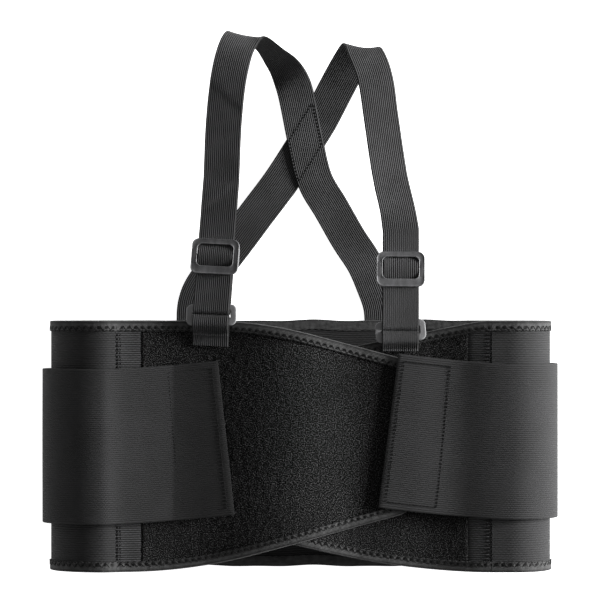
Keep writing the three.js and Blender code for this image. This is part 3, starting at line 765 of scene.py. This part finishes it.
def front_pile(side, seed):
    """The brushed face, a thin layer whose loops stand up unevenly."""
    x = np.sort(panel_places(side, side.pile, side.tip, PILE_CELL))
    rows = round((BELT_TOP - BELT_BOTTOM) / PILE_CELL)
    x, grid = panel_grid(side, x, np.linspace(0, 1, rows))
    fine = grain(grid.shape[:2], (1.1, 1.1), seed)
    broad = grain(grid.shape[:2], (26, 26), seed + 1)
    y = grid[..., 1]
    reach = np.minimum(y - bottom_edge(side, x)[:, None], top_edge(side, x)[:, None] - y)
    open_pile = smooth(reach, BINDING_WIDTH - 1, BINDING_WIDTH + 2)
    height = PANEL_PILE[1] + (np.clip(fine, -2, 2) * 0.13 + broad * 0.06) * open_pile
    edge = np.minimum(1, np.abs(x - side.pile) / 2)[:, None]
    height = PANEL_PILE[0] + (height - PANEL_PILE[0]) * (0.3 + 0.7 * np.sqrt(edge))
    uv = panel_uv(side, x, grid)
    surface = grid + normals_of(grid) * height[..., None]
    underside = grid + normals_of(grid) * PANEL_PILE[0]
    cloth = Cloth()
    cloth.skin(surface, uv)
    for row, wall in ((0, (underside[0], surface[0])), (-1, (surface[-1], underside[-1]))):
        cloth.skin(np.stack(wall), np.stack([uv[row], uv[row]]))
    return cloth.build(f"{side.name}_front_pile_cloth", PILE, crease=80)


def front_outline(side):
    """The panel's edge as [x, y], from the seam round the tip and back to the seam."""
    x = panel_places(side, side.seam, side.tip, 3)
    top = joined(x, top_edge(side, x))
    bottom = joined(x, bottom_edge(side, x))
    outline = [bottom, top[::-1]] if side is LEFT else [top, bottom[::-1]]
    return resampled(np.concatenate(outline), 0.8)


def front_binding(side, seed):
    outline = front_outline(side)
    x = outline[:, 0]
    edge = joined(x, outline[:, 1], front_height(side, x))
    out = face_normals(front_height, side, x)
    inwards = unit(np.cross(out, unit(np.gradient(edge, axis=0))))
    on_pile = smooth(from_seam(side, x), 0, from_seam(side, side.pile))
    lower = -BODY_HALF + (PANEL_BACKING[0] + BODY_HALF) * on_pile
    upper = BODY_HALF + (PANEL_TOP - BODY_HALF) * on_pile
    cloth = Cloth()
    length, painted_shades = binding(cloth, edge, inwards, out, lower, upper, seed)
    return tape_sheet(cloth, f"{side.name}_front_tape", painted_shades)


def closure_hook():
    """The hook patch under the left panel's tip that grips the right panel."""
    x, grid = panel_grid(LEFT, np.linspace(CLOSURE_HOOK.start, CLOSURE_HOOK.end, 40),
                         np.linspace(0, 1, 90), CLOSURE_HOOK.inset)
    cloth = Cloth()
    cloth.slab(grid, PANEL_HOOK[1], PANEL_HOOK[0], uv=panel_uv(LEFT, x, grid))
    piece = cloth.build("left_front_hook_cloth", HOOK)
    return piece


# ---- pull bands ----
def band_frame(side, line):
    """Middle line and width direction of a band on its [x, z] line, as rows of [x, y, z]."""
    run = abs(side.band.tip - side.bend)
    part = np.maximum(0, side.sign * (side.bend - line[:, 0]) / run)
    on_front = line[:, 1] > RIDGE_HEIGHT - FRONT_SAG
    y = side.band.middle + side.band.rise * part**1.5 * on_front
    tilt = np.arctan(-side.sign * 1.5 * side.band.rise * np.sqrt(part) / run) * on_front
    heading = unit(np.gradient(line, axis=0))
    heading = heading * np.where(heading[:, :1] < 0, -1, 1)
    across = joined(-np.sin(tilt) * heading[:, 0], np.cos(tilt), -np.sin(tilt) * heading[:, 1])
    return joined(line[:, 0], y, line[:, 1]), across


def band_grid(side, line, places):
    middle, across = band_frame(side, line)
    grid = middle[:, None, :] + across[:, None, :] * places[None, :, None]
    return grid if side is LEFT else grid[:, ::-1]


def band_piece(side, line, seed, start=0.0):
    """Half of a pull band on its line, its ribs carried on from where the other half stops."""
    places = across_places(-BAND_HALF, BAND_HALF, 3)
    line = resampled(line, 2)
    grid = band_grid(side, line, places)
    half = rounded(places, BAND_THICKNESS / 2)
    along = start + lengths_along(line)
    cloth = Cloth()
    fade = smooth(along - along[0], 0, 20) * smooth(along[-1] - along, 0, 20)
    swell = grain(grid.shape[:2], (30, 14), seed) * 0.12 * fade[:, None]
    tip = np.minimum(1, (along[-1] - along + 0.25) / 1.2)[:, None] if start else 1
    cloth.slab(grid, (half + swell) * tip, -half * tip, uv=joined(along[:, None], places))
    return cloth, line, along


def band_stitches(cloth, side, line):
    """The hook patch's outline, sewn through the band near its tip."""
    near_tip = side.band.tip + side.sign * 5.6
    patch = line[side.sign * (side.band.hook_from - line[:, 0]) >= 0]
    patch = patch[side.sign * (patch[:, 0] - near_tip) >= 0]
    middle, across = band_frame(side, patch)
    out = face_normals(band_height, side, patch[:, 0])
    surface = middle + out * (BAND_THICKNESS / 2 + STITCH_RISE)
    inset = BAND_HALF - 6
    for edge in (-inset, inset):
        stitch_line(cloth, surface + across * edge, out)
    for place in (0, -1):
        y = np.linspace(-inset, inset, 60)
        row = surface[place] + across[place] * y[:, None]
        stitch_line(cloth, row, out[place])


def band_hook(side, line):
    edge = 4
    end = side.band.tip + side.sign * edge
    x = line[:, 0]
    inside = (side.sign * (side.band.hook_from - x) >= 0) & (side.sign * (x - end) >= 0)
    places = np.linspace(-BAND_HALF + edge, BAND_HALF - edge, 60)
    grid = band_grid(side, line[inside], places)
    cloth = Cloth()
    cloth.slab(grid, BAND_HOOK[1], BAND_HOOK[0])
    piece = cloth.build(f"{side.name}_pull_hook_cloth", HOOK)
    return piece


# ---- straps ----
def strap_frame(side):
    """Middle of the ring, then u across the strap, v along it and w out of its face."""
    slope = float(slope_at(front_height, side, side.ring.x))
    heading, tilt = math.radians(side.ring.heading), math.radians(-STRAP_TILT)
    axes = turn_about(2, heading) @ turn_about(1, -slope) @ turn_about(0, tilt)
    return np.array([side.ring.x, side.ring.y, side.ring.z]), axes


def placed(side, points):
    """Points from the strap's frame, as [u, v, w], to the belt's frame."""
    origin, axes = strap_frame(side)
    return origin + np.asarray(points, float) @ axes.T


def catmull_rom(rows, distances, count):
    """A centripetal spline through rows; distances are the coordinates that space its knots."""
    padded = np.concatenate([[2 * rows[0] - rows[1]], rows, [2 * rows[-1] - rows[-2]]])
    spaced = np.concatenate([[2 * distances[0] - distances[1]], distances,
                             [2 * distances[-1] - distances[-2]]])
    steps = np.maximum(np.linalg.norm(np.diff(spaced, axis=0), axis=1) ** 0.5, 1e-3)
    made = []
    for i in range(len(rows) - 1):
        p0, p1, p2, p3 = padded[i:i + 4]
        d0, d1, d2 = steps[i:i + 3]
        start = ((p1 - p0) / d0 - (p2 - p0) / (d0 + d1) + (p2 - p1) / d1) * d1
        end = ((p2 - p1) / d1 - (p3 - p1) / (d1 + d2) + (p3 - p2) / d2) * d1
        t = np.linspace(0, 1, count, endpoint=False)[:, None]
        made.append(p1 + start * t + (3 * (p2 - p1) - 2 * start - end) * t**2
                    + (2 * (p1 - p2) + start + end) * t**3)
    return np.concatenate([*made, rows[-1:]])


def free_run(side):
    """Centre and width direction of a strap from its straight stretch over the shoulder."""
    front = placed(side, [0, side.straight, STRAP_OFFSET])
    lean = math.degrees(float(slope_at(front_height, side, side.ring.x)))
    rows = np.array([[*front, -side.ring.heading, lean], *side.strap], float)
    centre = catmull_rom(rows[:, :3], rows[:, :3], 30)
    turns = np.radians(catmull_rom(rows[:, 3:], rows[:, 3:], 30))
    heading, lean = turns.T
    across = joined(np.cos(lean) * np.cos(heading), np.cos(lean) * np.sin(heading), np.sin(lean))
    line = softened(np.concatenate([centre, across * 10], axis=1), 3.5)
    return line[:, :3], line[:, 3:] / 10


def half_turn(centre, radius, start, end):
    angles = np.radians(np.linspace(start, end, 24))
    return joined(0, centre + radius * np.sin(angles), radius * np.cos(angles))


def strap_line(side):
    """Centre and width direction of a whole strap, from the ring's upper bar to the back."""
    _, axes = strap_frame(side)
    wrap = half_turn(WRAP_CENTRE, STRAP_OFFSET, 180, 360)
    low_end = [[0, WRAP_CENTRE + 6, -STRAP_OFFSET]]
    straight = joined(0, np.arange(WRAP_CENTRE + 2, side.straight, 4), STRAP_OFFSET)
    framed = placed(side, np.concatenate([low_end, wrap, straight]))
    rows = np.concatenate([
        np.concatenate([framed, np.broadcast_to(axes[:, 0], framed.shape)], axis=1),
        np.concatenate(free_run(side), axis=1)])
    lengths = lengths_along(rows[:, :3])
    wanted = np.concatenate([np.arange(0, 26, 1.0), np.arange(26, lengths[-1], 2.5), [lengths[-1]]])
    rows = at_lengths(rows, lengths, wanted)
    return wanted, rows[:, :3], rows[:, 3:]


def ribbon(centre, across, places):
    """A grid of points across a strap; its width direction is made square to its heading."""
    heading = unit(np.gradient(centre, axis=0))
    level = unit(across - heading * np.sum(across * heading, axis=1, keepdims=True))
    out = np.cross(level, heading)
    grid = centre[:, None, :] + level[:, None, :] * places[None, ::-1, None]
    return grid, out


def rib_places():
    half = STRAP_WIDTH / 2
    inner = np.linspace(STRAP_EDGE - half, half - STRAP_EDGE, STRAP_RIBS * 4 + 1)
    return np.concatenate([[-half, 0.15 - half], inner, [half - 0.15, half]])


def rib_profile(places):
    """Half thickness of ribbed webbing across its width."""
    ribs = RIB_DEPTH * np.cos((places + STRAP_WIDTH / 2 - STRAP_EDGE) * 2 * math.pi / RIB_PITCH)
    edge = np.minimum(1, (STRAP_WIDTH / 2 - np.abs(places) + 0.04) / 0.45)
    return (STRAP_THICKNESS / 2 - RIB_DEPTH / 2 - ribs) * np.sqrt(edge)


def webbing(cloth, centre, across, along, sway=0.0, folds=(), seed=0, squeeze=1.0):
    """Ribbed webbing along a line, with a slow sway of its face and a few slanted folds."""
    places = rib_places()
    half = rib_profile(places)
    grid, out = ribbon(centre, across, places * squeeze)
    if np.any(sway):
        rise = grain(grid.shape[:2], (16, 60), seed) * sway
        for at, slant, depth in folds:
            away = along[:, None] - at - slant * places[None, ::-1]
            rise += depth * np.tanh(away / 2.5) * np.exp(-(away / 14) ** 2)
        grid = grid + out[:, None, :] * np.reshape(rise, (*grid.shape[:2], 1))
    cloth.slab(grid, half, -half, uv=joined(along[:, None], places[::-1]))


def strap(side, line, seed):
    along, centre, across = line
    sewn = smooth(along, along[-1] - 120, along[-1] - 60)
    free = smooth(along, side.straight + 10, side.straight + 60) * (1 - sewn)
    cloth = Cloth()
    webbing(cloth, centre, across, along, 0.25 * free[:, None], side.folds, seed)
    return cloth


def crossing_stitches(cloth, over, under):
    """The diamond sewn where one strap lies on the other behind the shoulders."""
    low_over, low_under = (centre[centre[:, 2] < 12] for _, centre, _ in (over, under))
    gaps = np.linalg.norm(low_over[:, None, :2] - low_under[None, :, :2], axis=-1)
    i, j = np.unravel_index(np.argmin(gaps), gaps.shape)
    middles = [low_over[i, :2], low_under[j, :2]]
    tangents = [unit(rows[k + 3, :2] - rows[k - 3, :2]) for rows, k in ((low_over, i), (low_under, j))]
    sides = np.array([[-t[1], t[0]] for t in tangents])
    inset = STRAP_WIDTH / 2 - 2.6
    corners = []
    for a, b in ((-1, -1), (-1, 1), (1, 1), (1, -1)):
        wanted = [middles[0] @ sides[0] + a * inset, middles[1] @ sides[1] + b * inset]
        corners.append(np.linalg.solve(sides, wanted))
    corners.append(corners[0])
    edge = resampled(np.array(corners), 1)
    reach = (edge - middles[0]) @ tangents[0]
    travel = (low_over[:, :2] - middles[0]) @ tangents[0]
    order = np.argsort(travel)
    z = np.interp(reach, travel[order], low_over[order, 2]) + STRAP_THICKNESS / 2 + 0.1
    stitch_line(cloth, np.column_stack([edge, z]))


def end_stitches(cloth, centre):
    """The box sewn through a strap's lower end into the back panel."""
    x, y, z = centre[-1]
    low, high = y + 3, y + 22
    left, right = x - STRAP_WIDTH / 2 + 3, x + STRAP_WIDTH / 2 - 3
    box = np.array([[left, low], [right, low], [right, high], [left, high], [left, low], [right, high]])
    row = resampled(box, 1)
    stitch_line(cloth, joined(row[:, 0], row[:, 1], z + STRAP_THICKNESS / 2 + 0.1))


def strap_return(side):
    """The strap's under layer, from the ring to its slider, and its arch over the slider's bar."""
    _, axes = strap_frame(side)
    v = np.arange(WRAP_CENTRE + 6 + GAP, side.slider_at + 3, 2.5)
    centre = placed(side, joined(0, v, -STRAP_OFFSET))
    cloth = Cloth()
    webbing(cloth, centre, np.broadcast_to(axes[:, 0], centre.shape), lengths_along(centre))
    reach = SLIDER.window / 2
    v = np.linspace(-reach, reach, 25)
    rise = ARCH_HEIGHT * np.cos(v / reach * math.pi / 2) ** 0.7
    middle = side.slider_at + SLIDER.window_shift
    arch = placed(side, joined(0, middle + v, STRAP_OFFSET - 0.2 + rise))
    webbing(cloth, arch, np.broadcast_to(axes[:, 0], arch.shape), middle + v, squeeze=0.955)
    piece = cloth.build(f"{side.name}_strap_return_cloth", WEBBING)
    return piece


def tab(side):
    """The sewn tab that holds the ring: webbing looped round its lower bar."""
    origin, axes = strap_frame(side)
    surface = float(front_height(side, side.ring.x)) + PANEL_TOP + GAP + BINDING_SKIN + TAB.seat

    def seat(y, layer):
        height = surface + STRAP_THICKNESS * (layer + 0.5) + GAP * layer
        local = axes.T @ (np.array([side.ring.x, y, height]) - origin)
        return [0, local[1], local[2]]

    landing = min(side.tab_end + TAB.lap, side.ring.y - TAB.drop)
    loop = half_turn(TAB.centre, TAB.offset, 0, 180)
    points = np.array([
        seat(side.tab_fold, 1), seat(max(landing, side.tab_fold + 3), 1),
        [0, TAB.centre - 7, TAB.offset - 0.2], *loop[::4], loop[-1], [0, TAB.centre - 5, -TAB.offset],
        seat(landing, 0), seat(side.tab_end, 0)])
    line = placed(side, resampled(catmull_rom(points, points, 12), 0.9))
    cloth = Cloth()
    across = np.broadcast_to(axes[:, 0], line.shape)
    webbing(cloth, line, across, lengths_along(line))
    for end in (2.0, 4.4):
        at = at_lengths(line, lengths_along(line), np.array([end]))[0]
        u = np.linspace(-STRAP_WIDTH / 2 + 1.5, STRAP_WIDTH / 2 - 1.5, 30)
        row = at + axes[:, 0] * u[:, None] + axes[:, 2] * (STRAP_THICKNESS / 2 + 0.05)
        stitch_line(cloth, row, axes[:, 2])
    piece = cloth.build(f"{side.name}_tab_cloth", WEBBING, THREAD)
    return piece


# ---- plastic hardware ----
SQUARENESS = 0.42  # 1 makes a moulded bar's section round, 0 makes it square


def rounded_outline(width, height, radius):
    corners = []
    for x, y, start in ((1, 1, 0), (-1, 1, 90), (-1, -1, 180), (1, -1, 270)):
        angles = np.radians(np.linspace(start, start + 90, 14))
        corners.append(joined(
            x * (width / 2 - radius) + radius * np.cos(angles),
            y * (height / 2 - radius) + radius * np.sin(angles)))
    return np.concatenate(corners)


def squared_circle(count):
    """An outline between a circle and a square: flat faces and well rounded edges."""
    angles = np.linspace(0, 2 * math.pi, count, endpoint=False) + math.pi / count
    return tuple(np.sign(wave) * np.abs(wave) ** SQUARENESS for wave in (np.cos(angles), np.sin(angles)))


def loop_of_bar(outer, inner, low, high, dish=0.0):
    """A closed moulded loop between two outlines, dished a little along the middle of its face."""
    first, second = squared_circle(28)
    middle, reach = (outer + inner) / 2, (outer - inner) / 2
    flat = middle[:, None, :] + reach[:, None, :] * first[None, :, None]
    z = (low + high) / 2 + (high - low) / 2 * second
    z = z - dish * (second > 0.9) * (1 - np.abs(first)) ** 0.5
    edge = np.broadcast_to(np.abs(first * second) ** 2, flat.shape[:2])
    return joined(flat[..., 0], flat[..., 1], z), edge


def rounded_bar(size, centre):
    """A straight moulded bar across u, rounded along its edges and at its ends."""
    first, second = squared_circle(20)
    ends = np.array([0, 0.012, 0.04, 0.1, 0.3, 0.7, 0.9, 0.96, 0.988, 1])
    swell = np.array([0.55, 0.85, 0.98, 1, 1, 1, 1, 0.98, 0.85, 0.55])
    u, swell = ((ends - 0.5) * size[0])[:, None], swell[:, None]
    return joined(u, swell * first * size[1] / 2, swell * second * size[2] / 2) + centre


def hardware(name, material, side, at, loop, bars=(), turn=0.0):
    """A moulded loop, turned in its plane, and straight bars, placed at a length along the strap."""
    cloth = Cloth()
    points, edge = loop_of_bar(*loop)
    turned = turn_about(2, math.radians(turn)).T
    world = placed(side, points.reshape(-1, 3) @ turned + [0, at, 0])
    cloth.add(world, grid_quads(*points.shape[:2], wrap=(1, 1)), np.zeros((len(world), 2)))
    for points in bars:
        world = placed(side, points.reshape(-1, 3) + [0, at, 0])
        rows, columns = points.shape[:2]
        first, last = range(columns)[::-1], range((rows - 1) * columns, rows * columns)
        caps = [[ring[k], ring[k + 1], ring[-2 - k], ring[-1 - k]]
                for ring in (first, last) for k in range(columns // 2 - 1)]
        cloth.add(world, np.concatenate([tube_quads(rows, columns), caps]), np.zeros((len(world), 2)))
    piece = cloth.build(name, material, crease=70)
    marked(piece, "edge", edge.ravel())
    return piece


def ring(side):
    outer = rounded_outline(RING.width, RING.height, 5)
    inner = rounded_outline(RING.hole_width, RING.hole_height, 2)
    half = RING.thickness / 2
    return hardware(f"{side.name}_ring_moulded", RING_PLASTIC, side, 0, (outer, inner, -half, half),
                    turn=side.ring.turn)


def slider(side):
    outer = rounded_outline(SLIDER.width, SLIDER.height, 6)
    inner = rounded_outline(SLIDER.width - 2 * SLIDER.side, SLIDER.window, 4.2)
    inner = inner + [0, SLIDER.window_shift]
    rail_size = (SLIDER.rail, SLIDER.rail_height, SLIDER.high - CENTRE_BAR.low - 0.3)
    rail_at = (SLIDER.width - SLIDER.rail - 0.6) / 2
    rail_middle = (SLIDER.high + CENTRE_BAR.low) / 2 - 0.2
    rails = [rounded_bar(rail_size, [u, 0, rail_middle]) for u in (-rail_at, rail_at)]
    bar = rounded_bar((SLIDER.width - 1, CENTRE_BAR.height, CENTRE_BAR.high - CENTRE_BAR.low),
                      [0, 0, (CENTRE_BAR.low + CENTRE_BAR.high) / 2])
    return hardware(f"{side.name}_slider_moulded", PLASTIC, side, side.slider_at,
                    (outer, inner, SLIDER.low, SLIDER.high, SLIDER.dish), [*rails, bar])


def stand_for(piece, slot, *nodes, on=None):
    """Shows a piece instead of CAD nodes. It rides one body when one is given."""
    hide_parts(*nodes)
    if on:
        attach(piece, on)
    return piece


def add_back():
    stand_for(back_panel(), "body_elastic", "back_panel", on="root")
    for name, edge_y, inwards_y, seed in (
        ("back_binding_top", BELT_TOP, -1, 11), ("back_binding_bottom", BELT_BOTTOM, 1, 12),
    ):
        stand_for(back_binding(name, edge_y, inwards_y, seed), "binding", name, on="root")
    for number, x in enumerate(STAY_PLACES, 1):
        stand_for(stay_channel(number, x), "binding", f"stay_channel_{number}", on="root")
        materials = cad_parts[f"stay_{number}"].data.materials
        materials.clear()
        materials.append(STAY)


def add_front(side, body, seed):
    """A front panel, its binding and its pile, which is returned."""
    base = stand_for(front_base(side), "body_elastic", f"{side.name}_front_base")
    tape_piece = stand_for(front_binding(side, seed), "binding", f"{side.name}_front_binding")
    for piece in (base, tape_piece):
        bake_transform(piece)

    pile_piece = stand_for(front_pile(side, seed + 1), "pile", f"{side.name}_front_pile", on=body)
    return pile_piece


def add_band(side, pull, seed):
    """A pull band in two halves: one stays on the back, the other runs on round the side to its tip."""
    rear_line, outer_line = band_lines(side)
    rear, _, along = band_piece(side, rear_line, seed)
    rear = stand_for(rear.build(f"{side.name}_pull_band_rear_cloth", BAND), "pull_elastic",
                     f"{side.name}_pull_band_rear", on="root")

    outer, line, outer_along = band_piece(side, outer_line, seed + 1, along[-1])
    band_stitches(outer, side, line)
    outer = stand_for(outer.build(f"{side.name}_pull_band_cloth", BAND, THREAD), "pull_elastic",
                      f"{side.name}_pull_band")
    # Painted shade: the left band's hook patch is darkened in colour; the right band's is not.
    x = np.array([vertex.co.x for vertex in outer.data.vertices]) * 1000
    on_patch = smooth(side.sign * (side.band.hook_from - x), -1, 2)
    marked(outer, "shade", side.band.patch_shade * on_patch)
    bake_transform(outer)
    stand_for(band_hook(side, line), "hook", f"{side.name}_pull_hook", on=pull)


def add_strap(side, body, seed):
    """A strap and its tab, ring and slider."""
    line = strap_lines[side.name]
    cloth = strap(side, line, seed)
    if side is LEFT:
        crossing_stitches(cloth, strap_lines["left"], strap_lines["right"])
    end_stitches(cloth, line[1])
    piece = stand_for(
        cloth.build(f"{side.name}_strap_webbing", WEBBING, THREAD), "webbing",
        f"{side.name}_strap_front", f"{side.name}_strap_back")
    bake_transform(piece)

    stand_for(tab(side), "webbing", f"{side.name}_tab", on=body)
    stand_for(ring(side), "plastic", f"{side.name}_ring", on=f"{side.name}_ring_body")
    stand_for(slider(side), "plastic", f"{side.name}_slider", on=f"{side.name}_slider_body")
    piece = stand_for(strap_return(side), "webbing", f"{side.name}_strap_return")
    window = side.slider_at + SLIDER.window_shift - SLIDER.window / 2
    near, far = placed(side, [[0, RETURN_FIXED, -STRAP_OFFSET], [0, window, -STRAP_OFFSET]])
    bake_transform(piece)


add_back()
strap_lines = {side.name: strap_line(side) for side in (LEFT, RIGHT)}
for seed, side in ((20, LEFT), (40, RIGHT)):
    body, pull = f"{side.name}_front", f"{side.name}_pull"
    pile_piece = add_front(side, body, seed)
    add_band(side, pull, seed + 3)
    add_strap(side, body, seed + 5)
stand_for(closure_hook(), "hook", "left_front_hook", on="left_front")


# ---- floor, light and camera ----
def floor():
    mesh = bpy.data.meshes.new("floor")
    half = 12
    corners = [(-half, -half, 0), (half, -half, 0), (half, half, 0), (-half, half, 0)]
    mesh.from_pydata(corners, [], [(0, 1, 2, 3)])
    n = Nodes("floor", grey(0.9), 0.9, 0, 0.1)
    n.shader.inputs["Emission Color"].default_value = grey(1)
    n.shader.inputs["Emission Strength"].default_value = 0.9
    mesh.materials.append(n.material)
    made = bpy.data.objects.new("floor", mesh)
    made.location.z = -0.0005
    bpy.context.scene.collection.objects.link(made)


def softbox(name, place, target, size, power):
    lamp = bpy.data.lights.new(name, "AREA")
    lamp.shape = "RECTANGLE"
    lamp.size, lamp.size_y = size
    lamp.energy = power
    made = bpy.data.objects.new(name, lamp)
    made.location = place
    towards = Vector(target) - Vector(place)
    made.rotation_euler = towards.to_track_quat("-Z", "Y").to_euler()
    bpy.context.scene.collection.objects.link(made)


def studio_world(zenith, horizon):
    """Soft light from all round: a pale horizon under a dimmer ceiling."""
    world = bpy.data.worlds.new("studio")
    world.use_nodes = True
    tree = world.node_tree
    where = tree.nodes.new("ShaderNodeTexCoord")
    apart = tree.nodes.new("ShaderNodeSeparateXYZ")
    dim = tree.nodes.new("ShaderNodeMapRange")
    tree.links.new(where.outputs["Generated"], apart.inputs[0])
    tree.links.new(apart.outputs[2], dim.inputs["Value"])
    for socket, value in {"From Min": 0.05, "From Max": 0.35, "To Min": horizon, "To Max": zenith}.items():
        dim.inputs[socket].default_value = value
    tree.links.new(dim.outputs[0], tree.nodes["Background"].inputs["Strength"])
    tree.nodes["Background"].inputs["Color"].default_value = grey(1)
    return world


floor()
softbox("key", (4.8, 0.8, 1.22), (0, 0, 0.05), (2.4, 1.2), 1150)
bpy.context.scene.world = studio_world(0.33, 0.85)
bpy.context.scene.view_settings.view_transform = "Standard"

BELT_MIDDLE = 0.0435  # half the belt's height as it lies, in metres
CAMERA_DISTANCE = 3.0  # from the camera to the belt's mid height, in metres
VIEW_WIDTH = 0.528  # what it sees across at that height
camera = bpy.data.cameras.new("camera")
camera.lens = camera.sensor_width * CAMERA_DISTANCE / VIEW_WIDTH
camera_object = bpy.data.objects.new("camera", camera)
camera_object.location = (0, 0, CAMERA_DISTANCE + BELT_MIDDLE)
bpy.context.scene.collection.objects.link(camera_object)
bpy.context.scene.camera = camera_object
